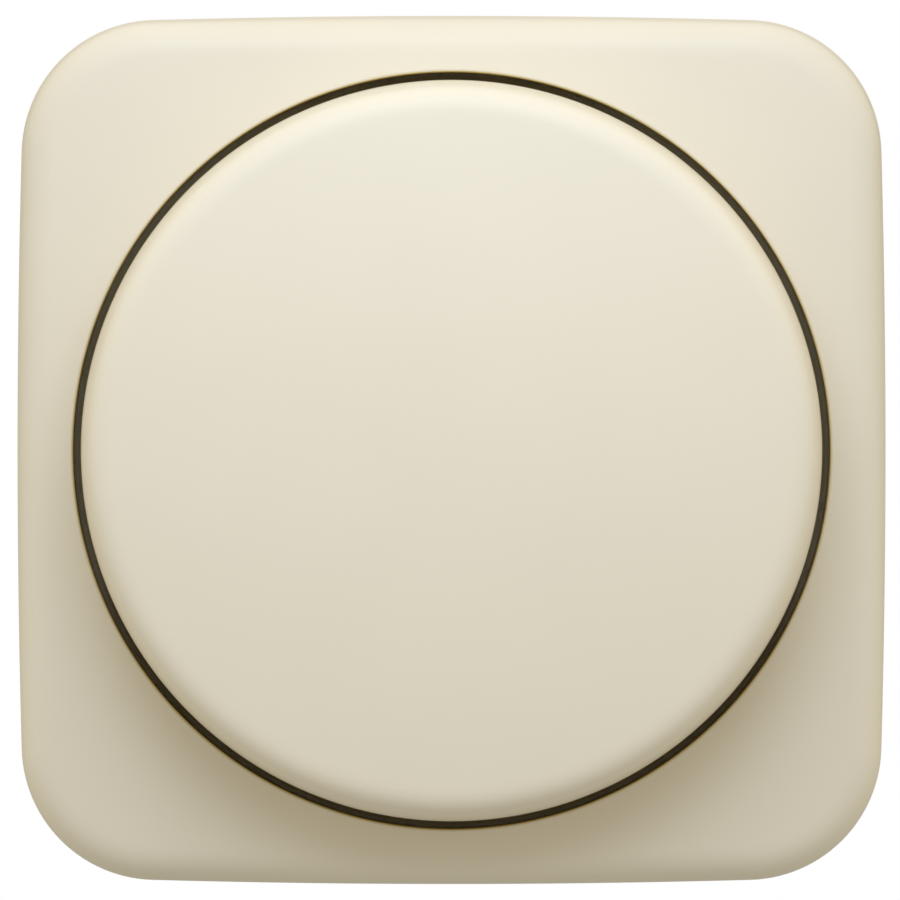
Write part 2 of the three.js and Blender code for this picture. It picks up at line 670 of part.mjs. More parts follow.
function filmCapacitor() {
  const { width, depth, height } = CAPACITOR;
  return solid(new THREE.BoxGeometry(width, depth, height));
}

function heatSpreader() {
  const { x, low, high, front, back, hole, trimmerHole } = SPREADER;
  return cut(
    block(around(0, x), [front, back], [low, high]),
    drill(hole, [front, back], 0, 0, 24),
    drill(trimmerHole, [front, back], TRIMMER.x, TRIMMER.z, 16),
  );
}

// A flat package that lies on the heat spreader; its three leads bend back to the circuit board.
function powerTransistor() {
  const { low, high, front, back, bottom, top } = TRANSISTOR;
  const tip = bottom - LEAD.reach;
  const leads = [-LEAD.pitch, 0, LEAD.pitch].flatMap((offset) => {
    const width = around((low + high) / 2 + offset, LEAD.width / 2);
    return [
      block(width, [LEAD.front, LEAD.front + LEAD.thickness], [tip, bottom + 0.2]),
      block(width, [LEAD.front, BOARD.front - 0.1], [tip, tip + LEAD.thickness]),
    ];
  });
  return join(block([low, high], [front, back], [bottom, top]), ...leads);
}

function transistorClip() {
  const { x, thickness, bladeFront, bladeBack, low, high } = SPRING_CLIP;
  return join(
    block([x, x + thickness], [SPREADER.back + 0.1, bladeBack], [low, high]),
    block([x, TRANSISTOR.high], [bladeFront, bladeBack], [low, high]),
  );
}

function trimmerBody() {
  const { body, bodyFront, bodyBack } = TRIMMER;
  return block(around(0, body), [bodyFront, bodyBack], around(0, body));
}

function trimmerRotor() {
  const { radius, bodyFront, slot } = TRIMMER;
  const slotSpan = [LID.front - OVERCUT, LID.front + 0.8];
  const tool = block(around(0, radius + 1), slotSpan, around(0, slot / 2));
  return cut(rod(radius, [LID.front, bodyFront - 0.1], 0, 0, 16), tool);
}

// ---------------------------------------------------------------- terminal, with its screw on the Y axis

function terminalCage() {
  const { x, z, front, back, wall } = CAGE;
  const window = block(around(0, x - wall), [front + wall, back - wall], around(0, z + OVERCUT));
  const hole = drill(TERMINAL_SCREW.shank + 0.1, [back - wall, back], 0, 0, 14);
  return cut(block(around(0, x), [front, back], around(0, z)), window, hole);
}

function busbar() {
  const { x, front, back, low, high, tail } = BUSBAR;
  return join(
    block(around(0, x), [front, back], [low, high]),
    block(around(0, tail), [back - 0.1, BOARD.front - 0.1], [high - 0.8, high]),
  );
}

// ---------------------------------------------------------------- fuse drawer, with the fuse on the X axis

function fuseCarrier() {
  const { x, z, faceFront, faceBack } = DRAWER;
  const { x: gripX, rib: ribHalf, scoop, scoopFront, back } = GRIP;
  const joinDepth = faceFront + 0.1;
  const arms = SIDES.map((side) => {
    const middle = side * DRAWER_ARM.x;
    return block(around(middle, DRAWER_ARM.half), [DRAWER_ARM.front, joinDepth], around(0, DRAWER_ARM.z));
  });
  const saddle = block(around(0, SADDLE.x), [FUSE.radius + 0.2, joinDepth], around(0, SADDLE.z));
  const scoops = SIDES.map((side) => {
    return block(around(0, gripX), [scoopFront, back + 1], around(side * scoop, scoop / 2));
  });
  const face = cut(block(around(0, x), [faceFront, faceBack], around(0, z)), ...scoops);
  const rib = block(around(0, gripX), [scoopFront, back], around(0, ribHalf));
  return join(face, rib, ...arms, saddle);
}

function fuseTube() {
  const reach = FUSE.half - 0.4;
  return cut(crossRod(FUSE.glass, [-reach, reach]), crossRod(FUSE.bore, [-FUSE.half, FUSE.half]));
}

// A cap over the right end of the fuse's tube.
function fuseCap() {
  const { half, cap, radius, capWall } = FUSE;
  return cut(
    crossRod(radius, [half - cap, half]),
    crossRod(radius - capWall, [half - cap - OVERCUT, half - 2 * capWall]),
  );
}

// A fork that is open towards the back, so the fuse leaves with its drawer.
function fuseClip() {
  const { half, grip, sheet, front, back } = FUSE_CLIP;
  const { low, height, half: pinHalf } = CLIP_PIN;
  const legs = SIDES.map((side) => {
    return block(around(0, half), [front, back], around(side * (grip + sheet / 2), sheet / 2));
  });
  const foot = block(around(0, half), [front, front + sheet + 0.1], [low, grip + sheet]);
  const boardPin = block(around(0, pinHalf), [front, BOARD.front - 0.1 - FUSE.y], [low, low + height]);
  return join(...legs, foot, boardPin);
}

// ---------------------------------------------------------------- materials

const finish = (color, roughness, metalness = 0) => {
  return new THREE.MeshStandardMaterial({ color, roughness, metalness });
};
const ivory = finish(0xe2dcc9, 0.35);
const steel = finish(0xb9bcc0, 0.35, 1);
const brass = finish(0xc9a75a, 0.35, 1);
const blackPlastic = finish(0x2c2d2e, 0.55);
const greyPlastic = finish(0x6f7376, 0.5);
const whitePlastic = finish(0xd8d8d2, 0.45);
const aluminium = finish(0xc4c7ca, 0.4, 1);
const copper = finish(0xb8703d, 0.4, 1);
const boardGreen = finish(0x2f6b45, 0.5);
const phenolic = finish(0x7a5230, 0.6);
const ferrite = finish(0x3a3a3c, 0.7);
const filmYellow = finish(0xd9b441, 0.4);
const glass = finish(0xdfe8ea, 0.1);

// ---------------------------------------------------------------- assembly

function piece(name, shape, material) {
  const mesh = new THREE.Mesh(geometryOf(shape), material);
  mesh.name = name;
  return mesh;
}

function placed(object, x, y, z) {
  object.position.set(x, y, z);
  return object;
}

const assembly = (...parts) => new THREE.Group().add(...parts);

// Turned half round the Y axis, a part drawn for the right side stands on the left.
function turnedOver(object) {
  object.rotation.y = Math.PI;
  return object;
}

function knobAssembly() {
  return assembly(
    piece("knob", knob(), ivory),
    piece("knob_clip", knobClip(), steel),
    piece("knob_shaft", knobShaft(), steel),
    piece("shaft_circlip", shaftCirclip(), steel),
  );
}

function lidScrews() {
  return CORNERS.map(([sx, sz], i) => {
    const screw = piece(`lid_screw_${i + 1}`, crossHeadScrew(LID_SCREW), steel);
    return placed(screw, sx * LID_SCREW.x, LID.front - SEAT, sz * LID_SCREW.z);
  });
}

function clawAssembly(side) {
  const screw = piece(`claw_screw_${side}`, crossHeadScrew(CLAW_SCREW), steel);
  return assembly(
    placed(screw, CLAW_SCREW.x, RING.front - SEAT, 0),
    piece(`claw_nut_${side}`, clawNut(), steel),
    piece(`claw_${side}`, clawBlade(), steel),
  );
}

function potentiometerAssembly() {
  return assembly(
    piece("threaded_neck", threadedNeck(), brass),
    piece("potentiometer_case", potCase(), greyPlastic),
    piece("potentiometer_wiper", potWiper(), whitePlastic),
    piece("potentiometer_track", potTrack(), phenolic),
  );
}

function switchAssembly() {
  return assembly(
    piece("switch_case", switchCase(), whitePlastic),
    piece("switch_plunger", switchPlunger(), whitePlastic),
    piece("switch_spring", switchSpring(), steel),
    piece("contact_bridge", contactBridge(), brass),
    piece("fixed_contact_right", fixedContact(), brass),
    turnedOver(piece("fixed_contact_left", fixedContact(), brass)),
  );
}

function boardAssembly() {
  const choke = assembly(
    piece("choke_core", chokeCore(), ferrite),
    piece("choke_winding", chokeWinding(), copper),
  );
  const trimmer = assembly(
    piece("trimmer_body", trimmerBody(), greyPlastic),
    piece("trimmer_rotor", trimmerRotor(), whitePlastic),
  );
  const capacitor = piece("film_capacitor", filmCapacitor(), filmYellow);
  return assembly(
    piece("circuit_board", circuitBoard(), boardGreen),
    placed(choke, CHOKE.x, CHOKE.y, 0),
    placed(capacitor, CAPACITOR.x, CAPACITOR.y, CAPACITOR.z),
    piece("heat_spreader", heatSpreader(), aluminium),
    piece("power_transistor", powerTransistor(), blackPlastic),
    piece("transistor_clip", transistorClip(), steel),
    placed(trimmer, TRIMMER.x, 0, TRIMMER.z),
  );
}

function terminalAssembly(number) {
  const screw = piece(`terminal_screw_${number}`, crossHeadScrew(TERMINAL_SCREW), steel);
  screw.rotation.x = Math.PI; // its head faces the back
  return assembly(
    placed(screw, 0, TERMINAL_SCREW.seat, 0),
    piece(`terminal_cage_${number}`, terminalCage(), steel),
    piece(`busbar_${number}`, busbar(), brass),
  );
}

function fuseAssembly() {
  return assembly(
    piece("fuse_carrier", fuseCarrier(), greyPlastic),
    piece("fuse_tube", fuseTube(), glass),
    piece("fuse_cap_right", fuseCap(), steel),
    turnedOver(piece("fuse_cap_left", fuseCap(), steel)),
    placed(piece("fuse_clip_right", fuseClip(), brass), FUSE_CLIP.x, 0, 0),
    placed(piece("fuse_clip_left", fuseClip(), brass), -FUSE_CLIP.x, 0, 0),
  );
}

const group = assembly(
  piece("cover_plate", coverPlate(), ivory),
  piece("retaining_nut", retainingNut(), greyPlastic),
  knobAssembly(),
  piece("support_ring", supportRing(), steel),
  piece("insert_lid", insertLid(), blackPlastic),
  piece("insert_housing", insertHousing(), blackPlastic),
  ...lidScrews(),
  clawAssembly("right"),
  turnedOver(clawAssembly("left")),
  potentiometerAssembly(),
  switchAssembly(),
  boardAssembly(),
  ...terminalPlaces.map((x, i) => placed(terminalAssembly(i + 1), x, 0, TERMINAL.z)),
  placed(fuseAssembly(), 0, FUSE.y, FUSE.z),
);

export default group;
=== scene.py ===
"""The looks of a flush rotary wall dimmer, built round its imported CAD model.

Shapes are drawn in millimetres in the row's frame (+X right, +Y into the wall, +Z up, origin on the
knob's axis in the wall plane) and turned to metres when they become meshes.
"""

import json
import math

import bmesh
import bpy
import numpy as np
from mathutils import Matrix, Vector

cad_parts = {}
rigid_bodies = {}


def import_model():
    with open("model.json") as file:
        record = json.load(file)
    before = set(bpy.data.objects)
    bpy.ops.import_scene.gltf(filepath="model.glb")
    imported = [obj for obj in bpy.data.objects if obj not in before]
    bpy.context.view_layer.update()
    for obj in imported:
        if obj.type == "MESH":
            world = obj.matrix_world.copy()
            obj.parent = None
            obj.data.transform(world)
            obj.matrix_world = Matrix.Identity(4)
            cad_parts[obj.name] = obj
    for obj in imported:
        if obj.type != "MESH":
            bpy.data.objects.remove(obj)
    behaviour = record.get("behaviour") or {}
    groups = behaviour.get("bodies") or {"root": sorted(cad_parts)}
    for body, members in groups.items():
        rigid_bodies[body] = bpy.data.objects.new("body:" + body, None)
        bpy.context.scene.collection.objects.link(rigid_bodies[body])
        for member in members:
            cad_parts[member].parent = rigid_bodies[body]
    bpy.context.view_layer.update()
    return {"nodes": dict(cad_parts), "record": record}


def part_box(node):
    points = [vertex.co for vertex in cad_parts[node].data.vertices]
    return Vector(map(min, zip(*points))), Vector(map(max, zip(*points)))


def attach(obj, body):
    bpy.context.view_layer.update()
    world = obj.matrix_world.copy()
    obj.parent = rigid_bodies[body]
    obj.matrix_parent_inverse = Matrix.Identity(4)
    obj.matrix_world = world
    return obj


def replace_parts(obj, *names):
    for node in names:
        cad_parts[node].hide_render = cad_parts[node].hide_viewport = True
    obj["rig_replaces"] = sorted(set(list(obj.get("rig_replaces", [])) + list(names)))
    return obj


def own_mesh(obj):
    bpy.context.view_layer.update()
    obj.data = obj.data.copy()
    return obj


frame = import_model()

MM = 0.001
RIGHT_ANGLE = math.pi / 2
TURN = 2 * math.pi
OFF_ALL_PATHS = (0.31, 0.52, 0.79)  # a direction that no wire here starts in
SLOT_OF = {part["node"]: part["material_slot"] for part in frame["record"]["subparts"]}
BODY_OF = {
    node: body for body, nodes in frame["record"]["behaviour"]["bodies"].items() for node in nodes
}


def box_mm(node):
    """The low and high corner of a CAD node in millimetres."""
    low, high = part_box(node)
    return low / MM, high / MM


def centre_mm(node):
    low, high = box_mm(node)
    return (low + high) / 2


# ---------------------------------------------------------------- mesh helpers


def new_object(name, mesh):
    obj = bpy.data.objects.new(name, mesh)
    bpy.context.scene.collection.objects.link(obj)
    return obj


def shade(obj, sharp_angle=35):
    """Smooth shading, except over edges that turn by more than sharp_angle degrees.

    Large faces keep their own direction, so that only the small ones along an edge look round.
    """
    obj.data.polygons.foreach_set("use_smooth", [True] * len(obj.data.polygons))
    obj.data.set_sharp_from_angle(angle=math.radians(sharp_angle))
    obj.data.update()
    weighted = obj.modifiers.new("weighted normals", "WEIGHTED_NORMAL")
    weighted.keep_sharp = True
    return obj


def clean(obj, weld=1e-7):
    """Merges points that coincide and turns all faces outwards."""
    bm = bmesh.new()
    bm.from_mesh(obj.data)
    bmesh.ops.remove_doubles(bm, verts=bm.verts, dist=weld)
    bmesh.ops.dissolve_degenerate(bm, edges=bm.edges, dist=weld)
    bmesh.ops.recalc_face_normals(bm, faces=bm.faces)
    bm.to_mesh(obj.data)
    bm.free()
    return obj


def close_holes(obj, most_sides=6):
    """Fills the tiny holes that a boolean can leave."""
    bm = bmesh.new()
    bm.from_mesh(obj.data)
    bmesh.ops.holes_fill(bm, edges=bm.edges, sides=most_sides)
    bmesh.ops.recalc_face_normals(bm, faces=bm.faces)
    bm.to_mesh(obj.data)
    bm.free()
    return obj


def grid(name, rows, closed):
    """A surface through rows of points, each row a ring. Closed joins the last row to the first."""
    rows = np.asarray(rows, float)
    count, width = rows.shape[:2]
    faces = []
    for here in range(count if closed else count - 1):
        below = (here + 1) % count
        for column in range(width):
            right = (column + 1) % width
            faces.append((
                here * width + column,
                here * width + right,
                below * width + right,
                below * width + column,
            ))
    mesh = bpy.data.meshes.new(name)
    mesh.from_pydata((rows.reshape(-1, 3) * MM).tolist(), [], faces)
    return clean(new_object(name, mesh))


def round_row(radius, along, angles):
    """A ring of points about the Y axis. The radius is one number, or one for each angle."""
    depths = np.full(len(angles), along)
    return np.stack([radius * np.cos(angles), depths, radius * np.sin(angles)], axis=1)


def lathe(name, profile, segments, axis="Y"):
    """A solid of revolution from (radius, place along the axis) pairs.

    A profile starts and ends on the axis, or closes on itself.
    """
    angles = np.linspace(0, TURN, segments, endpoint=False)
    rows = [round_row(radius, along, angles) for radius, along in profile]
    if axis == "X":
        rows = [points[:, [1, 0, 2]] for points in rows]
    return grid(name, rows, closed=profile[0][0] > 0)


def eased_corner(start, corner, end, steps, power=2.4):
    """Points that turn from start to end round a corner.

    A power of 2 makes an arc. A higher one keeps closer to the corner and eases in at both ends.
    """
    start, corner, end = (np.asarray(point, float) for point in (start, corner, end))
    points = []
    for i in range(steps + 1):
        turn = i / steps * RIGHT_ANGLE
        out = abs(math.sin(turn)) ** (2 / power)
        back = abs(math.cos(turn)) ** (2 / power)
        points.append(corner + (start - corner) * (1 - out) + (end - corner) * (1 - back))
    return points


def softened(points, setback, steps=4, closed=False):
    """A polyline whose inner corners are rounded. A corner's setback is a number, or one per point."""
    points = [np.asarray(point, float) for point in points]
    count = len(points)
    setbacks = setback if hasattr(setback, "__len__") else [setback] * count
    made = [] if closed else [points[0]]
    for i in range(count) if closed else range(1, count - 1):
        before, here, after = points[i - 1], points[i], points[(i + 1) % count]
        if setbacks[i] == 0:
            made.append(here)
            continue
        start = here + (before - here) / np.linalg.norm(before - here) * setbacks[i]
        end = here + (after - here) / np.linalg.norm(after - here) * setbacks[i]
        made.extend(eased_corner(start, here, end, steps, power=2))
    if not closed:
        made.append(points[-1])
    return made


def boolean(obj, tool, operation):
    """Cuts tool from obj, or joins it to obj, and deletes the tool."""
    modifier = obj.modifiers.new("boolean", "BOOLEAN")
    modifier.operation = operation
    modifier.solver = "EXACT"
    modifier.object = tool
    bpy.context.view_layer.update()
    evaluated = obj.evaluated_get(bpy.context.evaluated_depsgraph_get())
    made = bpy.data.meshes.new_from_object(evaluated)
    obj.modifiers.clear()
    obj.data = made
    bpy.data.objects.remove(tool)
    return obj


def brick(name, x_span, y_span, z_span, rounding=0.0):
    """A box between limits in millimetres, with rounded edges."""
    spans = np.array([x_span, y_span, z_span], float)
    middle = spans.mean(axis=1)
    size = spans[:, 1] - spans[:, 0]
    bm = bmesh.new()
    bmesh.ops.create_cube(bm, size=1)
    bmesh.ops.scale(bm, vec=size, verts=bm.verts)
    bmesh.ops.translate(bm, vec=middle, verts=bm.verts)
    if rounding:
        bmesh.ops.bevel(
            bm, geom=list(bm.edges), offset=rounding, segments=3, profile=0.5, affect="EDGES"
        )
    bmesh.ops.scale(bm, vec=(MM, MM, MM), verts=bm.verts)
    mesh = bpy.data.meshes.new(name)
    bm.to_mesh(mesh)
    bm.free()
    return new_object(name, mesh)


def joined(name, objects):
    """One object from several, which may overlap."""
    first, *others = objects
    for other in others:
        boolean(first, other, "UNION")
    first.name = name
    return first


def tube_along(name, path, radius, sides):
    """A round wire along a path in millimetres, with flat ends."""
    path = np.asarray(path, float)
    tangents = np.gradient(path, axis=0)
    tangents /= np.linalg.norm(tangents, axis=1)[:, None]
    side = np.cross(tangents[0], OFF_ALL_PATHS)
    rows = []
    for point, tangent in zip(path, tangents):
        side = side - tangent * (side @ tangent)
        side /= np.linalg.norm(side)
        other = np.cross(tangent, side)
        angles = np.linspace(0, TURN, sides, endpoint=False)
        ring = np.outer(np.cos(angles), side) + np.outer(np.sin(angles), other)
        rows.append(point + radius * ring)
    rows.insert(0, np.repeat(path[:1], sides, axis=0))
    rows.append(np.repeat(path[-1:], sides, axis=0))
    return grid(name, rows, closed=False)


def refined(node, rounding, sharp_angle=30):
    """A copy of a CAD node whose flat faces are whole again and whose edges are rounded."""
    obj = new_object(node + "_moulded", frame["nodes"][node].data.copy())
    bm = bmesh.new()
    bm.from_mesh(obj.data)
    bmesh.ops.remove_doubles(bm, verts=bm.verts, dist=1e-6)
    bmesh.ops.dissolve_limit(
        bm, angle_limit=math.radians(1), verts=bm.verts, edges=bm.edges, use_dissolve_boundaries=False
    )
    edges = [
        edge for edge in bm.edges
        if edge.is_manifold and edge.calc_face_angle(0) > math.radians(sharp_angle)
    ]
    bmesh.ops.bevel(
        bm, geom=edges, offset=rounding * MM, segments=2, profile=0.5,
        affect="EDGES", clamp_overlap=True,
    )
    bmesh.ops.recalc_face_normals(bm, faces=bm.faces)
    bm.to_mesh(obj.data)
    bm.free()
    obj.data.materials.clear()
    return shade(obj, sharp_angle)


# ---------------------------------------------------------------- material helpers


def add(tree, kind, inputs=None, **settings):
    """Adds a shader node. An input is a value, or the output that feeds it."""
    node = tree.nodes.new(kind)
    for name, value in settings.items():
        setattr(node, name, value)
    for name, value in (inputs or {}).items():
        if isinstance(value, bpy.types.NodeSocket):
            tree.links.new(value, node.inputs[name])
        else:
            node.inputs[name].default_value = value
    return node


def new_material(name, roughness, metallic=0.0):
    """An empty material with its tree, its main shader and the object's own coordinates."""
    made = bpy.data.materials.new(name)
    made.use_nodes = True
    tree = made.node_tree
    shader = tree.nodes["Principled BSDF"]
    shader.inputs["Roughness"].default_value = roughness
    shader.inputs["Metallic"].default_value = metallic
    place = add(tree, "ShaderNodeTexCoord").outputs["Object"]
    return made, tree, shader, place


def noise(tree, place, size, detail=3.0, roughness=0.5, stretch=None):
    """Noise whose features measure about size millimetres, stretched by a factor on each axis."""
    if stretch is not None:
        scale = [1 / factor for factor in stretch]
        place = add(tree, "ShaderNodeMapping", {"Vector": place, "Scale": scale}).outputs["Vector"]
    made = add(tree, "ShaderNodeTexNoise", {
        "Vector": place,
        "Scale": 1 / (size * MM),
        "Detail": detail,
        "Roughness": roughness,
    })
    return made.outputs["Fac"]


def spread(tree, value, low, high, from_low=0.3, from_high=0.7):
    """A value between from_low and from_high taken to between low and high."""
    made = add(tree, "ShaderNodeMapRange", {
        "Value": value,
        "From Min": from_low,
        "From Max": from_high,
        "To Min": low,
        "To Max": high,
    })
    return made.outputs["Result"]


def blend_colors(tree, share, first, second):
    made = add(tree, "ShaderNodeMix", {"Factor": share}, data_type="RGBA")
    for socket, color in zip(made.inputs[6:8], (first, second)):
        if isinstance(color, bpy.types.NodeSocket):
            tree.links.new(color, socket)
        else:
            socket.default_value = (*color, 1)
    return made.outputs[2]


def bump(tree, shader, height, depth, strength=1.0):
    """Bump from a height of 0 to 1, for a relief depth millimetres deep."""
    made = add(tree, "ShaderNodeBump", {
        "Strength": strength,
        "Distance": depth * MM,
        "Height": height,
    })
    tree.links.new(made.outputs["Normal"], shader.inputs["Normal"])


def openness(tree, reach, closed_share, open_share):
    """1 on open faces, 0 where nearly every direction is blocked within reach millimetres.

    The share of directions that are free goes from closed_share to open_share in between.
    """
    free = add(tree, "ShaderNodeAmbientOcclusion", {"Distance": reach * MM}, samples=8).outputs["AO"]
    return spread(tree, free, 0, 1, closed_share, open_share)


def edge_wear(tree, low=0.52, high=0.6):
    """1 along outer edges, 0 on flat faces."""
    pointiness = add(tree, "ShaderNodeNewGeometry").outputs["Pointiness"]
    return spread(tree, pointiness, 0, 1, low, high)


# ---------------------------------------------------------------- materials


IVORY = (0.815, 0.745, 0.583)
GAP_SHADE_BROWN = (0.5, 0.36, 0.07)  # painted shade: the brown that ivory is painted deep in the gap round the knob
COVER_TINT = 0.96  # the cover is a shade darker than the knob


def ivory_plastic(name, tint):
    """Satin moulded plastic with faint flow clouds and a fine grain, with painted shade: brown and dull
    deep in gaps.
    """
    made, tree, shader, place = new_material(name, 0.5)
    clouds = noise(tree, place, 16, detail=4)
    grain = noise(tree, place, 0.16, detail=2, roughness=0.6)
    plain = [tint * share for share in IVORY]
    paler = [1.02 * share for share in plain]
    body = blend_colors(tree, spread(tree, clouds, 0, 1), plain, paler)
    # painted shade: where most directions within 16 mm are blocked, the ivory is painted brown
    unshaded = openness(tree, reach=16.0, closed_share=0.15, open_share=0.4)
    color = blend_colors(tree, unshaded, GAP_SHADE_BROWN, body)
    tree.links.new(color, shader.inputs["Base Color"])
    # painted shade: reflection is also turned down deep in gaps
    tree.links.new(spread(tree, unshaded, 0.0, 0.5, 0, 1), shader.inputs["Specular IOR Level"])
    tree.links.new(spread(tree, grain, 0.46, 0.54), shader.inputs["Roughness"])
    shader.inputs["IOR"].default_value = 1.5
    bump(tree, shader, grain, 0.004, 0.5)
    return made


def moulded_plastic(name, color, lighter, roughness, grain_depth):
    """Plain moulded plastic with a fine grain and paler, smoother edges."""
    made, tree, shader, place = new_material(name, roughness)
    grain = noise(tree, place, 0.22, detail=3, roughness=0.65)
    clouds = noise(tree, place, 7, detail=3)
    body = blend_colors(tree, spread(tree, clouds, 0, 0.5), color, lighter)
    worn = blend_colors(tree, edge_wear(tree), body, lighter)
    tree.links.new(worn, shader.inputs["Base Color"])
    rough = spread(tree, grain, roughness - 0.07, roughness + 0.08)
    tree.links.new(rough, shader.inputs["Roughness"])
    bump(tree, shader, grain, grain_depth, 0.7)
    return made


def rolled_metal(name, color, tint, roughness, stretch=(1, 1, 12)):
    """Rolled or turned metal: fine drawn lines, stretched along one axis, and cloudy plating."""
    made, tree, shader, place = new_material(name, roughness, metallic=1.0)
    lines = noise(tree, place, 0.25, detail=4, roughness=0.7, stretch=stretch)
    clouds = noise(tree, place, 5, detail=4)
    body = blend_colors(tree, spread(tree, clouds, 0, 1), color, tint)
    tree.links.new(body, shader.inputs["Base Color"])
    rough = spread(tree, lines, roughness - 0.08, roughness + 0.12)
    tree.links.new(rough, shader.inputs["Roughness"])
    bump(tree, shader, lines, 0.003, 0.5)
    return made


def enamelled_copper():
    """Copper under clear enamel, in darker and paler streaks."""
    made, tree, shader, place = new_material("enamelled_copper", 0.28, metallic=1.0)
    streaks = noise(tree, place, 1.2, detail=3)
    color = blend_colors(tree, spread(tree, streaks, 0, 1), (0.48, 0.17, 0.06), (0.66, 0.28, 0.12))
    tree.links.new(color, shader.inputs["Base Color"])
    shader.inputs["Coat Weight"].default_value = 0.6
    shader.inputs["Coat Roughness"].default_value = 0.12
    return made


def ferrite():
    """Sintered core: dark grey with small pale grains."""
    made, tree, shader, place = new_material("ferrite", 0.7)
    grains = add(tree, "ShaderNodeTexVoronoi", {"Vector": place, "Scale": 3500.0}).outputs["Distance"]
    between = spread(tree, grains, 0, 1, 0.1, 0.6)
    color = blend_colors(tree, between, (0.075, 0.075, 0.08), (0.03, 0.03, 0.032))
    tree.links.new(color, shader.inputs["Base Color"])
    bump(tree, shader, grains, 0.02, 0.6)
    return made


def board_laminate():
    """Green solder mask over angular copper fields, which show as paler areas, slightly raised."""
    made, tree, shader, place = new_material("board_laminate", 0.35)
    nearest, second = [
        add(
            tree, "ShaderNodeTexVoronoi", {"Vector": place, "Scale": 240.0},
            feature=feature, distance="CHEBYCHEV",
        ).outputs["Distance"]
        for feature in ("F1", "F2")
    ]
    border = add(tree, "ShaderNodeMath", {0: second, 1: nearest}, operation="SUBTRACT").outputs[0]
    fields = spread(tree, border, 0, 1, 0.07, 0.1)
    weave = add(tree, "ShaderNodeTexWave", {"Vector": place, "Scale": 900.0}).outputs["Fac"]
    mask = blend_colors(tree, weave, (0.018, 0.09, 0.04), (0.022, 0.105, 0.05))
    color = blend_colors(tree, fields, mask, (0.035, 0.15, 0.07))
    tree.links.new(color, shader.inputs["Base Color"])
    bump(tree, shader, fields, 0.05, 0.6)
    return made


def phenolic():
    """Paper laminate with fibres along the sheet."""
    made, tree, shader, place = new_material("phenolic", 0.55)
    fibres = noise(tree, place, 0.5, detail=5, roughness=0.7, stretch=(6, 1, 1))
    color = blend_colors(tree, spread(tree, fibres, 0, 1), (0.16, 0.07, 0.03), (0.26, 0.13, 0.055))
    tree.links.new(color, shader.inputs["Base Color"])
    bump(tree, shader, fibres, 0.01, 0.5)
    return made


def fuse_glass():
    """Clear glass with faint drawing lines along the tube."""
    made, tree, shader, place = new_material("fuse_glass", 0.03)
    lines = noise(tree, place, 0.4, detail=2, stretch=(30, 1, 1))
    shader.inputs["Base Color"].default_value = (0.93, 0.97, 0.96, 1)
    shader.inputs["Transmission Weight"].default_value = 1.0
    shader.inputs["IOR"].default_value = 1.47
    bump(tree, shader, lines, 0.004, 0.3)
    return made


def make_materials():
    """One material for each material slot of the record."""
    return {
        "ivory_plastic": ivory_plastic("ivory_plastic", 1.0),
        "black_plastic": moulded_plastic(
            "black_plastic", (0.018, 0.018, 0.02), (0.045, 0.045, 0.048), 0.46, 0.012
        ),
        "grey_plastic": moulded_plastic(
            "grey_plastic", (0.17, 0.175, 0.18), (0.24, 0.245, 0.25), 0.42, 0.008
        ),
        "white_plastic": moulded_plastic(
            "white_plastic", (0.66, 0.66, 0.62), (0.76, 0.76, 0.73), 0.38, 0.006
        ),
        "film_yellow": moulded_plastic(
            "film_yellow", (0.62, 0.40, 0.06), (0.74, 0.50, 0.10), 0.35, 0.006
        ),
        "zinc_plated_steel": rolled_metal(
            "zinc_plated_steel", (0.58, 0.59, 0.61), (0.68, 0.68, 0.66), 0.34
        ),
        "spring_steel": rolled_metal("spring_steel", (0.36, 0.37, 0.39), (0.46, 0.46, 0.47), 0.3),
        "brass": rolled_metal("brass", (0.72, 0.50, 0.18), (0.80, 0.60, 0.27), 0.3),
        "nickel_plating": rolled_metal("nickel_plating", (0.70, 0.68, 0.62), (0.78, 0.76, 0.71), 0.2),
        "aluminium_sheet": rolled_metal(
            "aluminium_sheet", (0.70, 0.71, 0.72), (0.78, 0.79, 0.80), 0.38, stretch=(14, 1, 1)
        ),
        "enamelled_copper": enamelled_copper(),
        "ferrite": ferrite(),
        "board_laminate": board_laminate(),
        "phenolic": phenolic(),
        "fuse_glass": fuse_glass(),
    }


MATERIALS = make_materials()
COVER_IVORY = ivory_plastic("cover_ivory", COVER_TINT)


def stands_for(obj, node, material=None):
    """Gives obj the finish and the body of the CAD node that it takes the place of."""
    slot = SLOT_OF[node]
    obj.data.materials.clear()
    obj.data.materials.append(material or MATERIALS[slot])
    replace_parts(obj, node)
    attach(obj, BODY_OF[node])
    return obj


# ---------------------------------------------------------------- cover plate

COVER_LOW, COVER_HIGH = box_mm("cover_plate")
COVER_HALF = COVER_HIGH.x
COVER_FRONT = COVER_LOW.y
COVER_BOW = 0.8
COVER_CORNER = 12.4
COVER_DRAFT = 0.25
COVER_EDGE = 3.1  # how far the rounded edge reaches in from the side wall
COVER_DOME = 0.5  # how far the face rises from the corners to the knob's opening
COVER_FOOT = 0.25  # rounding where the side wall meets the wall plane
FOOT_BEND = 0.07  # how far in the middle of that rounding is
COVER_WALL = 2.0
COVER_ROOF = 1.8
INNER_ROUNDING = 0.6  # between the underside of the face and the inside of the side wall
INNER_CHAMFER = 0.2  # at the wall plane, on the inside
CEILING = COVER_FRONT + COVER_DOME + COVER_ROOF
WELL_RADIUS = 34.75
WELL_LIP = 0.35  # rounding where the face turns down into the well
WELL_FLOOR = (-5.5, -4.0)
WELL_WALL = 1.5
NECK_HOLE = 5.2
RIB_HALF = 0.6
RIB_DEPTHS = (COVER_FRONT + 1.4, -3.0)
POST_RADIUS = 2.2
POST_DEPTHS = (-9.2, -1.26)
POST_PLACE = 27.6 * math.sqrt(2)

SIDE_STEPS = 44
CORNER_STEPS = 28
EDGE_STEPS = 16
FACE_STEPS = 12


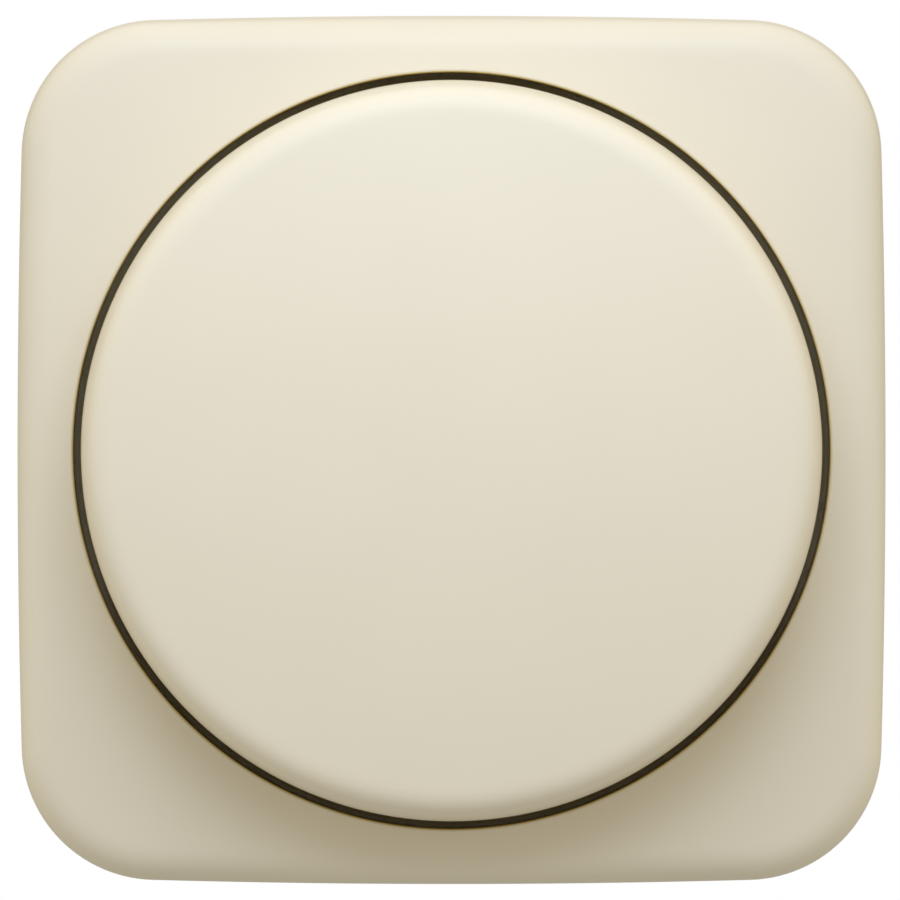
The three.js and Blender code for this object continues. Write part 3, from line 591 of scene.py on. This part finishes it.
def cover_outline(offset=0.0):
    """The cover from the front as (x, z) rows: bowed sides and round corners, moved in by offset.

    The right side is an arc about (side_centre, 0). It meets the corner's arc, whose middle is at
    (corner_centre, corner_centre), where the two run in the same direction.
    """
    side_radius = (COVER_HALF**2 + COVER_BOW**2) / (2 * COVER_BOW)
    side_centre = COVER_HALF - side_radius
    between = side_radius - COVER_CORNER
    corner_centre = (side_centre + math.sqrt(2 * between**2 - side_centre**2)) / 2
    turn = math.atan2(corner_centre, corner_centre - side_centre)
    side = np.linspace(-turn, turn, SIDE_STEPS, endpoint=False)
    bend = np.linspace(turn, RIGHT_ANGLE - turn, CORNER_STEPS, endpoint=False)
    x = np.concatenate([
        side_centre + (side_radius - offset) * np.cos(side),
        corner_centre + (COVER_CORNER - offset) * np.cos(bend),
    ])
    z = np.concatenate([
        (side_radius - offset) * np.sin(side),
        corner_centre + (COVER_CORNER - offset) * np.sin(bend),
    ])
    quarters = []
    for n in range(4):
        c, s = math.cos(n * RIGHT_ANGLE), math.sin(n * RIGHT_ANGLE)
        quarters.append(np.stack([x * c - z * s, x * s + z * c], axis=1))
    return np.concatenate(quarters)


def ring_like(outline, radius):
    """Points on a circle, each in the direction of its point on the outline."""
    return outline / np.linalg.norm(outline, axis=1)[:, None] * radius


def row(outline, depth):
    """A row of 3-D points from (x, z) points and a depth, which may be one number per point."""
    depths = np.broadcast_to(depth, len(outline))
    return np.stack([outline[:, 0], depths, outline[:, 1]], axis=1)


def cover_front_rows():
    """From the wall plane up the side, over the rounded edge and up the domed face to the opening."""
    base = cover_outline()
    rim = cover_outline(COVER_DRAFT + COVER_EDGE)
    mouth = ring_like(base, WELL_RADIUS + WELL_LIP)
    length = np.linalg.norm(rim - mouth, axis=1)
    shoulder = COVER_FRONT + COVER_DOME * (length / length.max()) ** 1.5
    slope = (shoulder - COVER_FRONT) * RIGHT_ANGLE / length
    edge_start = COVER_FRONT + COVER_DOME + COVER_EDGE
    rows = [
        row(cover_outline(COVER_FOOT), 0.0),
        row(cover_outline(FOOT_BEND), -FOOT_BEND),
        row(base, -COVER_FOOT),
    ]
    for share in (0.25, 0.5, 0.75):
        rows.append(row(cover_outline(COVER_DRAFT * share), edge_start * share))
    for offset, height in eased_corner((0, 0), (0, 1), (1, 1), EDGE_STEPS):
        outline = cover_outline(COVER_DRAFT + COVER_EDGE * offset)
        corner = shoulder + slope * COVER_EDGE * (1 - offset)
        rows.append(row(outline, edge_start + (corner - edge_start) * height))
    for share in np.linspace(0, 1, FACE_STEPS + 1)[1:]:
        rise = (COVER_FRONT - shoulder) * math.sin(share * RIGHT_ANGLE)
        rows.append(row(rim + (mouth - rim) * share, shoulder + rise))
    return rows


def cover_well_rows():
    """Down the knob's opening, over the well's floor and through the hole for the neck."""
    base = cover_outline()
    floor, back = WELL_FLOOR
    profile = softened(
        [
            (WELL_RADIUS + WELL_LIP, COVER_FRONT),
            (WELL_RADIUS, COVER_FRONT),
            (WELL_RADIUS, floor),
            (NECK_HOLE, floor),
            (NECK_HOLE, back),
            (WELL_RADIUS + WELL_WALL, back),
            (WELL_RADIUS + WELL_WALL, CEILING),
        ],
        [0, 0.33, 0.4, 0.3, 0.3, 0.5, 0],
        steps=5,
    )
    return [row(ring_like(base, radius), depth) for radius, depth in profile[1:]]


def cover_back_rows():
    """Along the underside of the face and down the inside of the side wall."""
    inner = COVER_WALL + COVER_DRAFT
    well = ring_like(cover_outline(), WELL_RADIUS + WELL_WALL)
    rim = cover_outline(inner + INNER_ROUNDING)
    rows = [row(well + (rim - well) * share, CEILING) for share in (0.25, 0.5, 0.75)]
    for offset, height in eased_corner((1, 0), (0, 0), (0, 1), 5, power=2):
        outline = cover_outline(inner + INNER_ROUNDING * offset)
        rows.append(row(outline, CEILING + INNER_ROUNDING * height))
    rows.append(row(cover_outline(COVER_WALL), -INNER_CHAMFER))
    rows.append(row(cover_outline(COVER_WALL - INNER_CHAMFER), 0.0))
    return rows


def cover_supports():
    """Four ribs behind the corners, each with a post that rests on the support ring."""
    supports = []
    front, tip = POST_DEPTHS
    post_profile = softened(
        [(0, front), (POST_RADIUS, front), (POST_RADIUS, tip), (0, tip)], [0, 0, 0.25, 0]
    )
    rib_reach = (WELL_RADIUS + WELL_WALL - 0.5, COVER_HALF + 9)  # from inside the well's wall outwards
    for n in range(4):
        rib = brick("rib", rib_reach, RIB_DEPTHS, (-RIB_HALF, RIB_HALF), 0.15)
        post = lathe("post", post_profile, 32)
        post.data.transform(Matrix.Translation((POST_PLACE * MM, 0, 0)))
        support = joined("support", [rib, post])
        support.data.transform(Matrix.Rotation((n + 0.5) * RIGHT_ANGLE, 4, "Y"))
        supports.append(support)
    return supports


def build_cover():
    rows = cover_front_rows() + cover_well_rows() + cover_back_rows()
    cover = grid("cover_plate_shell", rows, closed=True)
    for support in cover_supports():
        boolean(cover, support, "UNION")
    shade(cover, 40)
    return stands_for(cover, "cover_plate", material=COVER_IVORY)


# ---------------------------------------------------------------- knob

KNOB_LOW, KNOB_HIGH = box_mm("knob")
KNOB_BASE = KNOB_HIGH.x
KNOB_FRONT = KNOB_LOW.y
KNOB_BACK = KNOB_HIGH.y
KNOB_SHOULDER = 33.35  # where the face would meet the flank if the edge were sharp
KNOB_CROWN = 1.15  # how far the face falls from its middle to the shoulder
KNOB_EDGE = 2.7  # how far the rounding reaches from there, along the face and along the flank
KNOB_WALL = 2.0
HUB_RADIUS = 4.8
HUB_BACK = -12.3
HUB_BORE = (3.1, -19.3)  # its radius, and the depth of its closed end


def knob_profile():
    """From the middle of the face over the edge, down the flank and back inside to the hub's bore."""
    crown_radius = (KNOB_SHOULDER**2 + KNOB_CROWN**2) / (2 * KNOB_CROWN)
    shoulder = (KNOB_SHOULDER, KNOB_FRONT + KNOB_CROWN)

    def crown(radius):
        return (radius, KNOB_FRONT + crown_radius - math.sqrt(crown_radius**2 - radius**2))

    flank_end = Vector((KNOB_BASE, COVER_FRONT))
    flank_start = Vector(shoulder) + (flank_end - Vector(shoulder)).normalized() * KNOB_EDGE
    face_end = KNOB_SHOULDER - KNOB_EDGE
    profile = [crown(radius) for radius in np.linspace(0, face_end, 14)]
    profile += eased_corner(crown(face_end), shoulder, flank_start, 18, power=3)[1:]
    profile += [flank_start.lerp(flank_end, share) for share in (0.33, 0.67)]
    ceiling = KNOB_FRONT + KNOB_WALL
    bore, bore_front = HUB_BORE
    inside = softened(
        [
            (KNOB_BASE, COVER_FRONT),
            (KNOB_BASE, KNOB_BACK),
            (KNOB_BASE - KNOB_WALL, KNOB_BACK),
            (KNOB_SHOULDER - KNOB_WALL, ceiling + KNOB_CROWN),
            (HUB_RADIUS + 0.3, ceiling + 0.1),
            (HUB_RADIUS, HUB_BACK),
            (bore, HUB_BACK),
            (bore, bore_front),
            (0, bore_front),
        ],
        [0, 0.25, 0.25, 1.6, 0.8, 0.3, 0.25, 0, 0],
        steps=5,
    )
    return profile + inside


def build_knob():
    knob = lathe("knob_shell", knob_profile(), 288)
    return stands_for(shade(knob, 40), "knob")


# ---------------------------------------------------------------- steel ring

RING_CORNER = 6
RING_WINDOW = (16, 17.5, 2)  # half its width, half its height and its corner radius
RING_SLOT = (30, 2.2, math.radians(17))  # radius, half its width and half the angle it spans
CLAW_HOLE = (2.05, 21.5)  # radius, and distance from the middle
LID_HOLES = (1.6, 13.5, 20.2)  # radius, and place to each side and up or down
WALL_HOLES = (1.6, 22.5, 30.5)
PAD_PLACE = (31, 28)
PAD_HALF = 2
PAD_HEIGHT = 0.2  # how far a pad stands off the sheet, towards the wall
PAD_SINK = 0.5  # how far a pad reaches into the sheet, to join it
RING_ROUNDING = 0.12


def circle_points(radius, x=0.0, z=0.0, segments=40):
    angles = np.linspace(0, TURN, segments, endpoint=False)
    return [(x + radius * math.cos(a), z + radius * math.sin(a)) for a in angles]


def rounded_rectangle(half_x, half_z, radius, steps=10):
    points = []
    for n, (sx, sz) in enumerate(((1, 1), (-1, 1), (-1, -1), (1, -1))):
        for a in np.linspace(n * RIGHT_ANGLE, (n + 1) * RIGHT_ANGLE, steps):
            points.append((
                sx * (half_x - radius) + radius * math.cos(a),
                sz * (half_z - radius) + radius * math.sin(a),
            ))
    return points


def arc(radius, start, end, steps, x=0.0, z=0.0):
    return [(x + radius * math.cos(a), z + radius * math.sin(a)) for a in np.linspace(start, end, steps)]


def arc_slot(radius, half, start, end):
    """A slot that follows a circle about the axis, with round ends."""

    def cap(at, turn):
        return arc(half, turn, turn + math.pi, 12, radius * math.cos(at), radius * math.sin(at))[1:-1]

    outer = arc(radius + half, start, end, 28)
    inner = arc(radius - half, end, start, 28)
    return outer + cap(end, end) + inner + cap(start, start + math.pi)


def sheet(name, outlines, front, back, rounding):
    """A flat plate between two depths. Outlines after the first are holes, and edges are rounded."""
    curve = bpy.data.curves.new(name, "CURVE")
    curve.dimensions = "2D"
    curve.fill_mode = "BOTH"
    for outline in outlines:
        spline = curve.splines.new("POLY")
        spline.points.add(len(outline) - 1)
        for point, (x, z) in zip(spline.points, outline):
            point.co = (x * MM, z * MM, 0, 1)
        spline.use_cyclic_u = True
    curve.offset = -rounding * MM
    curve.extrude = ((back - front) / 2 - rounding) * MM
    curve.bevel_depth = rounding * MM
    curve.bevel_resolution = 2
    holder = new_object(name + "_curve", curve)
    bpy.context.view_layer.update()
    evaluated = holder.evaluated_get(bpy.context.evaluated_depsgraph_get())
    mesh = bpy.data.meshes.new_from_object(evaluated)
    bpy.data.objects.remove(holder)
    mesh.transform(
        Matrix.Translation((0, (front + back) / 2 * MM, 0)) @ Matrix.Rotation(RIGHT_ANGLE, 4, "X")
    )
    return clean(new_object(name, mesh), weld=2e-6)


def build_support_ring():
    """The stamped steel ring, with its window, slots and holes, and a small pad near each corner."""
    low, high = box_mm("support_ring")
    half, front, seat = high.x, low.y, high.y
    back = seat - PAD_HEIGHT
    outlines = [
        rounded_rectangle(half, half, RING_CORNER),
        rounded_rectangle(*RING_WINDOW, steps=6),
    ]
    slot_radius, slot_half, slot_reach = RING_SLOT
    for n in range(4):
        middle = n * RIGHT_ANGLE
        outlines.append(arc_slot(slot_radius, slot_half, middle - slot_reach, middle + slot_reach))
    for sx in (1, -1):
        radius, x = CLAW_HOLE
        outlines.append(circle_points(radius, sx * x))
        for sz in (1, -1):
            for radius, x, z in (LID_HOLES, WALL_HOLES):
                outlines.append(circle_points(radius, sx * x, sz * z))
    ring = sheet("support_ring_sheet", outlines, front, back, RING_ROUNDING)
    for sx in (1, -1):
        for sz in (1, -1):
            x, z = sx * PAD_PLACE[0], sz * PAD_PLACE[1]
            pad = brick(
                "pad",
                (x - PAD_HALF, x + PAD_HALF),
                (back - PAD_SINK, seat),
                (z - PAD_HALF, z + PAD_HALF),
                0.1,
            )
            boolean(ring, pad, "UNION")
    return stands_for(shade(close_holes(ring), 30), "support_ring")


# ---------------------------------------------------------------- screws

THREAD_PITCH = 0.6
RECESS_FLOOR = 0.45  # how high the recess's floor is, as a share of the head's height
RECESS_ARM = 1 / 4.2  # how wide the recess's arms are, as a share of its width
RECESS_TAPER = 0.6  # the recess's size at its deep end, as a share of its size at the mouth
CLAW_SCREW = {"radius": 1.75, "head": 3.0, "height": 1.5, "recess": 4.2}
LID_SCREW = {"radius": 1.3, "head": 2.5, "height": 1.1, "recess": 3.0}
TERMINAL_SCREW = {"radius": 1.6, "head": 2.8, "height": 2.2, "recess": 4.2}


def cross_recess(width, depth_span):
    """The tool for a cross recess in a screw head that faces the front, narrower at its deep end."""
    arm = width * RECESS_ARM
    bars = [
        brick("bar", (-width / 2, width / 2), depth_span, (-arm / 2, arm / 2)),
        brick("bar", (-arm / 2, arm / 2), depth_span, (-width / 2, width / 2)),
    ]
    recess = joined("recess", bars)
    narrow = Matrix.Diagonal((RECESS_TAPER, 1, RECESS_TAPER, 1))
    middle = sum(depth_span) / 2 * MM
    for vertex in recess.data.vertices:
        if vertex.co.y > middle:
            vertex.co = narrow @ vertex.co
    return recess


def threaded_screw(name, length, radius, head, height):
    """A pan-head screw whose head's underside is at depth 0 and whose thread runs towards +Y."""
    angles = np.linspace(0, TURN, 40, endpoint=False)
    undercut = 0.15
    head_profile = softened(
        [(0, -height), (head, -height), (head, 0), (radius - undercut, 0)],
        [0, height * 0.45, 0.15, 0],
        steps=6,
    )
    rows = [round_row(r, depth, angles) for r, depth in head_profile]
    thread_depth = THREAD_PITCH * 0.42
    run_out = 0.8  # over this length the thread fades at each end
    rows_per_turn = 10
    for depth in np.linspace(undercut, length, int(length / THREAD_PITCH * rows_per_turn)):
        phase = (depth / THREAD_PITCH - angles / TURN) % 1
        ridge = np.clip(1.4 * (1 - np.abs(2 * phase - 1)), 0, 1)
        fade = min(1.0, (length - depth) / run_out, depth / run_out)
        rows.append(round_row(radius - thread_depth * (1 - ridge * fade), depth, angles))
    rows.append(round_row(0, length, angles))
    return grid(name, rows, closed=False)


def build_screw(node, radius, head, height, recess, faces_back=False):
    """A screw in the place of its CAD node, with its head at the front or at the back end."""
    low, high = box_mm(node)
    middle = centre_mm(node)
    screw = threaded_screw(node + "_threaded", high.y - low.y - height, radius, head, height)
    boolean(screw, cross_recess(recess, (-height - 1, -height * RECESS_FLOOR)), "DIFFERENCE")
    seat = low.y + height
    if faces_back:
        seat = high.y - height
        screw.data.transform(Matrix.Rotation(math.pi, 4, "X"))
    screw.data.transform(Matrix.Translation((middle.x * MM, seat * MM, middle.z * MM)))
    return stands_for(shade(screw, 40), node)


def build_screws():
    for side in ("right", "left"):
        build_screw("claw_screw_" + side, **CLAW_SCREW)
    for n in (1, 2, 3, 4):
        build_screw(f"lid_screw_{n}", **LID_SCREW)
    for n in (1, 2, 3):
        build_screw(f"terminal_screw_{n}", **TERMINAL_SCREW, faces_back=True)


# ---------------------------------------------------------------- fuse, choke and spring

GLASS_RADII = (1.7, 2.3)
GLASS_HALF = 9.6
CAP_RADII = (2.35, 2.5)
CAP_OPEN = 5  # distance from the middle of the fuse to the cap's open end
CAP_FLOOR = 9.7
CAP_END = 10
CORE_RADII = (3.5, 5.8)
CORE_HALF = 1.9
WINDING_WIRE = 0.32
WINDING_TURNS = 30
WINDING_OPENING = math.radians(52)
SPRING_WIRE = 0.2
SPRING_TURNS = 3.5


def build_fuse():
    middle = centre_mm("fuse_tube")
    place = Matrix.Translation((0, middle.y * MM, middle.z * MM))
    bore, unshaded = GLASS_RADII
    section = [(bore, -GLASS_HALF), (unshaded, -GLASS_HALF), (unshaded, GLASS_HALF), (bore, GLASS_HALF)]
    glass = lathe("fuse_tube_glass", softened(section, 0.15, 3, closed=True), 48, axis="X")
    glass.data.transform(place)
    stands_for(shade(glass), "fuse_tube")
    inside, unshaded = CAP_RADII
    for side, turn in (("right", 0), ("left", math.pi)):
        profile = softened(
            [
                (0, CAP_FLOOR),
                (inside, CAP_FLOOR),
                (inside, CAP_OPEN),
                (unshaded, CAP_OPEN),
                (unshaded, CAP_END),
                (0, CAP_END),
            ],
            [0, 0.1, 0.05, 0.05, 0.35, 0],
            steps=4,
        )
        cap = lathe("fuse_cap_" + side + "_turned", profile, 48, axis="X")
        cap.data.transform(place @ Matrix.Rotation(turn, 4, "Z"))
        stands_for(shade(cap), "fuse_cap_" + side)


def build_winding():
    """Turns of enamelled wire round the choke's core, with a bare stretch next to the board."""
    middle = centre_mm("choke_core")
    inner, outer = CORE_RADII
    lift = WINDING_WIRE + 0.06  # from the core's surface to the wire's middle
    path = []
    for t in np.linspace(0, 1, WINDING_TURNS * 28):
        around = RIGHT_ANGLE + WINDING_OPENING / 2 + t * (TURN - WINDING_OPENING)
        phase = t * WINDING_TURNS * TURN
        square = (abs(math.cos(phase)) ** 4 + abs(math.sin(phase)) ** 4) ** -0.25  # 1 on the flats
        radius = (inner + outer) / 2 + ((outer - inner) / 2 + lift) * square * math.cos(phase)
        across = (CORE_HALF + lift) * square * math.sin(phase)
        path.append((
            middle.x + across,
            middle.y + radius * math.sin(around),
            middle.z + radius * math.cos(around),
        ))
    winding = tube_along("choke_winding_wire", path, WINDING_WIRE, 8)
    return stands_for(shade(winding, 60), "choke_winding")


def build_core():
    inner, outer = CORE_RADII
    section = [(inner, -CORE_HALF), (outer, -CORE_HALF), (outer, CORE_HALF), (inner, CORE_HALF)]
    core = lathe("choke_core_ring", softened(section, 0.35, 4, closed=True), 96, axis="X")
    core.data.transform(Matrix.Translation(centre_mm("choke_core") * MM))
    return stands_for(shade(core), "choke_core")


def build_spring():
    """The push switch's return spring, built at its rest length. The real spring flattens as the knob is
    pushed in.
    """
    low, high = box_mm("switch_spring")
    radius = high.x - SPRING_WIRE
    start, end = low.y + SPRING_WIRE, high.y - SPRING_WIRE
    path = []
    for t in np.linspace(0, 1, 220):
        angle = t * SPRING_TURNS * TURN
        path.append((radius * math.cos(angle), start + t * (end - start), radius * math.sin(angle)))
    spring = tube_along("switch_spring_coil", path, SPRING_WIRE, 10)
    stands_for(shade(spring, 60), "switch_spring")
    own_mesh(spring)


# ---------------------------------------------------------------- pieces that keep their CAD shape

# how far the edges of the thicker pieces are rounded; every other piece gets SHEET_ROUNDING
ROUNDINGS = {
    "insert_housing": 0.3,
    "insert_lid": 0.25,
    "retaining_nut": 0.2,
    "fuse_carrier": 0.25,
    "film_capacitor": 0.5,
    "power_transistor": 0.15,
    "potentiometer_case": 0.2,
    "switch_case": 0.3,
    "circuit_board": 0.08,
    "trimmer_body": 0.2,
    "heat_spreader": 0.12,
    "claw_nut_right": 0.2,
    "claw_nut_left": 0.2,
}
SHEET_ROUNDING = 0.1


def build_moulded():
    """Every node that nothing stands for yet, with its edges rounded."""
    done = {node for obj in bpy.data.objects for node in obj.get("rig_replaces", [])}
    for node in sorted(frame["nodes"]):
        if node not in done:
            stands_for(refined(node, ROUNDINGS.get(node, SHEET_ROUNDING)), node)


# ---------------------------------------------------------------- stage, light and camera

FLOOR_DEPTH = 52  # how far the floor is below the knob's axis
FLOOR_RADIUS = 280
FLOOR_FADE = (0.35, 0.95)  # where the fade starts and ends, as shares of the radius
PHOTO_DISTANCE = 3.0  # metres
PHOTO_WIDTH_MM = 82.95  # width of the picture at the wall plane
PHOTO_ELEVATION = math.radians(0.3)
PHOTO_SHIFT = -0.0017  # how far the frame is off centre, as a share of its width


def build_floor():
    """A pale round floor under the object. It fades to the white of the backdrop at its edge."""
    floor = lathe("floor", [(0, 0), (FLOOR_RADIUS, 0), (FLOOR_RADIUS, 1), (0, 1)], 96)
    floor.data.transform(Matrix.Rotation(-RIGHT_ANGLE, 4, "X"))
    floor.location.z = -(FLOOR_DEPTH + 1) * MM
    made, tree, shader, place = new_material("pale_floor", 0.7)
    clouds = noise(tree, place, 60)
    color = blend_colors(tree, clouds, (0.90, 0.90, 0.89), (0.93, 0.93, 0.92))
    tree.links.new(color, shader.inputs["Base Color"])
    glow = add(tree, "ShaderNodeEmission", {"Color": (1, 1, 1, 1), "Strength": 1.0})
    reach = add(tree, "ShaderNodeVectorMath", {0: place}, operation="LENGTH").outputs["Value"]
    edge = spread(tree, reach, 0, 1, *[share * FLOOR_RADIUS * MM for share in FLOOR_FADE])
    mixed = add(tree, "ShaderNodeMixShader", {
        0: edge,
        1: shader.outputs["BSDF"],
        2: glow.outputs["Emission"],
    })
    tree.links.new(mixed.outputs["Shader"], tree.nodes["Material Output"].inputs["Surface"])
    floor.data.materials.append(made)
    floor.visible_diffuse = False
    floor.visible_glossy = False
    floor.visible_transmission = False
    floor.visible_shadow = False


AMBIENT_COLOR = (0.965, 0.925, 0.825, 1)
KEY_COLOR = (0.87, 1.0, 1.28)
KEY_PLACE = (0, -155, 108)  # millimetres, above and in front of the object
KEY_POWER = 0.163  # watts, small because the light is under 0.2 m from the object
FILL_POWER = 0.12
BACK_LIGHTS = {"back_right": ((210, 260, 150), 0.45), "back_left": ((-230, 240, 60), 0.25)}
TENT_FRONT = 0.40
TENT_SIDES = (0.55, 0.0, 0.32)  # what a full turn towards +X or -X, or +Z or -Z, adds
TENT_TILT = 0.25  # how much more comes from above than from the side, and less from below


def build_world():
    """A warm white tent: brightest at the sides, darker towards the camera and below."""
    world = bpy.data.worlds.new("studio")
    bpy.context.scene.world = world
    world.use_nodes = True
    tree = world.node_tree
    tree.nodes.clear()
    direction = add(tree, "ShaderNodeTexCoord").outputs["Generated"]
    squares = add(tree, "ShaderNodeVectorMath", {0: direction, 1: direction}, operation="MULTIPLY")
    sides = add(
        tree, "ShaderNodeVectorMath", {0: squares.outputs[0], 1: TENT_SIDES}, operation="DOT_PRODUCT"
    )
    height = add(tree, "ShaderNodeSeparateXYZ", {0: direction}).outputs["Z"]
    tilt = add(
        tree, "ShaderNodeMath", {0: height, 1: TENT_TILT, 2: TENT_FRONT}, operation="MULTIPLY_ADD"
    )
    level = add(tree, "ShaderNodeMath", {0: sides.outputs["Value"], 1: tilt.outputs[0]})
    tent = add(tree, "ShaderNodeBackground", {"Color": AMBIENT_COLOR, "Strength": level.outputs[0]})
    white = add(tree, "ShaderNodeBackground", {"Color": (1, 1, 1, 1), "Strength": 1.0})
    seen = add(tree, "ShaderNodeLightPath").outputs["Is Camera Ray"]
    mixed = add(tree, "ShaderNodeMixShader", {
        0: seen,
        1: tent.outputs["Background"],
        2: white.outputs["Background"],
    })
    output = add(tree, "ShaderNodeOutputWorld")
    tree.links.new(mixed.outputs["Shader"], output.inputs["Surface"])


def area_light(name, place_mm, target_mm, size_mm, power, color=(1, 1, 1)):
    data = bpy.data.lights.new(name, "AREA")
    data.shape = "RECTANGLE"
    data.size, data.size_y = size_mm[0] * MM, size_mm[1] * MM
    data.energy = power
    data.color = color
    light = bpy.data.objects.new(name, data)
    light.location = Vector(place_mm) * MM
    toward = (Vector(target_mm) - Vector(place_mm)).normalized()
    light.rotation_mode = "QUATERNION"
    light.rotation_quaternion = toward.to_track_quat("-Z", "Z")
    light.visible_camera = False
    bpy.context.scene.collection.objects.link(light)
    return light


def insert_pieces():
    """A collection of every visible piece behind the cover, which the back lights are kept to."""
    pieces = bpy.data.collections.new("insert_pieces")
    for obj in bpy.data.objects:
        replaced = obj.get("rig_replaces", [])
        if replaced and not {"cover_plate", "knob"} & set(replaced):
            pieces.objects.link(obj)
    return pieces


def build_lights():
    """One softbox above and in front, and the rest behind: two of those light only the insert."""
    area_light("key", KEY_PLACE, (0, -15, 0), (150, 130), KEY_POWER, KEY_COLOR)
    fill = area_light("back_fill", (0, 300, 0), (0, 0, 0), (120, 120), FILL_POWER)
    fill.visible_glossy = False
    behind = insert_pieces()
    for name, (place, power) in BACK_LIGHTS.items():
        light = area_light(name, place, (0, 15, 0), (160, 160), power)
        light.light_linking.receiver_collection = behind


def build_camera():
    """A distant camera straight in front, a touch above the middle."""
    data = bpy.data.cameras.new("camera")
    data.sensor_width = 36
    data.lens = data.sensor_width * PHOTO_DISTANCE / (PHOTO_WIDTH_MM * MM)
    data.clip_end = 10
    data.shift_x = PHOTO_SHIFT
    camera = bpy.data.objects.new("camera", data)
    back, rise = math.cos(PHOTO_ELEVATION), math.sin(PHOTO_ELEVATION)
    camera.location = (0, -PHOTO_DISTANCE * back, PHOTO_DISTANCE * rise)
    camera.rotation_euler = (RIGHT_ANGLE - PHOTO_ELEVATION, 0, 0)
    bpy.context.scene.collection.objects.link(camera)
    bpy.context.scene.camera = camera


build_cover()
build_knob()
build_support_ring()
build_screws()
build_fuse()
build_core()
build_winding()
build_spring()
build_moulded()
build_floor()
build_world()
build_lights()
build_camera()
bpy.context.scene.view_settings.view_transform = "Standard"
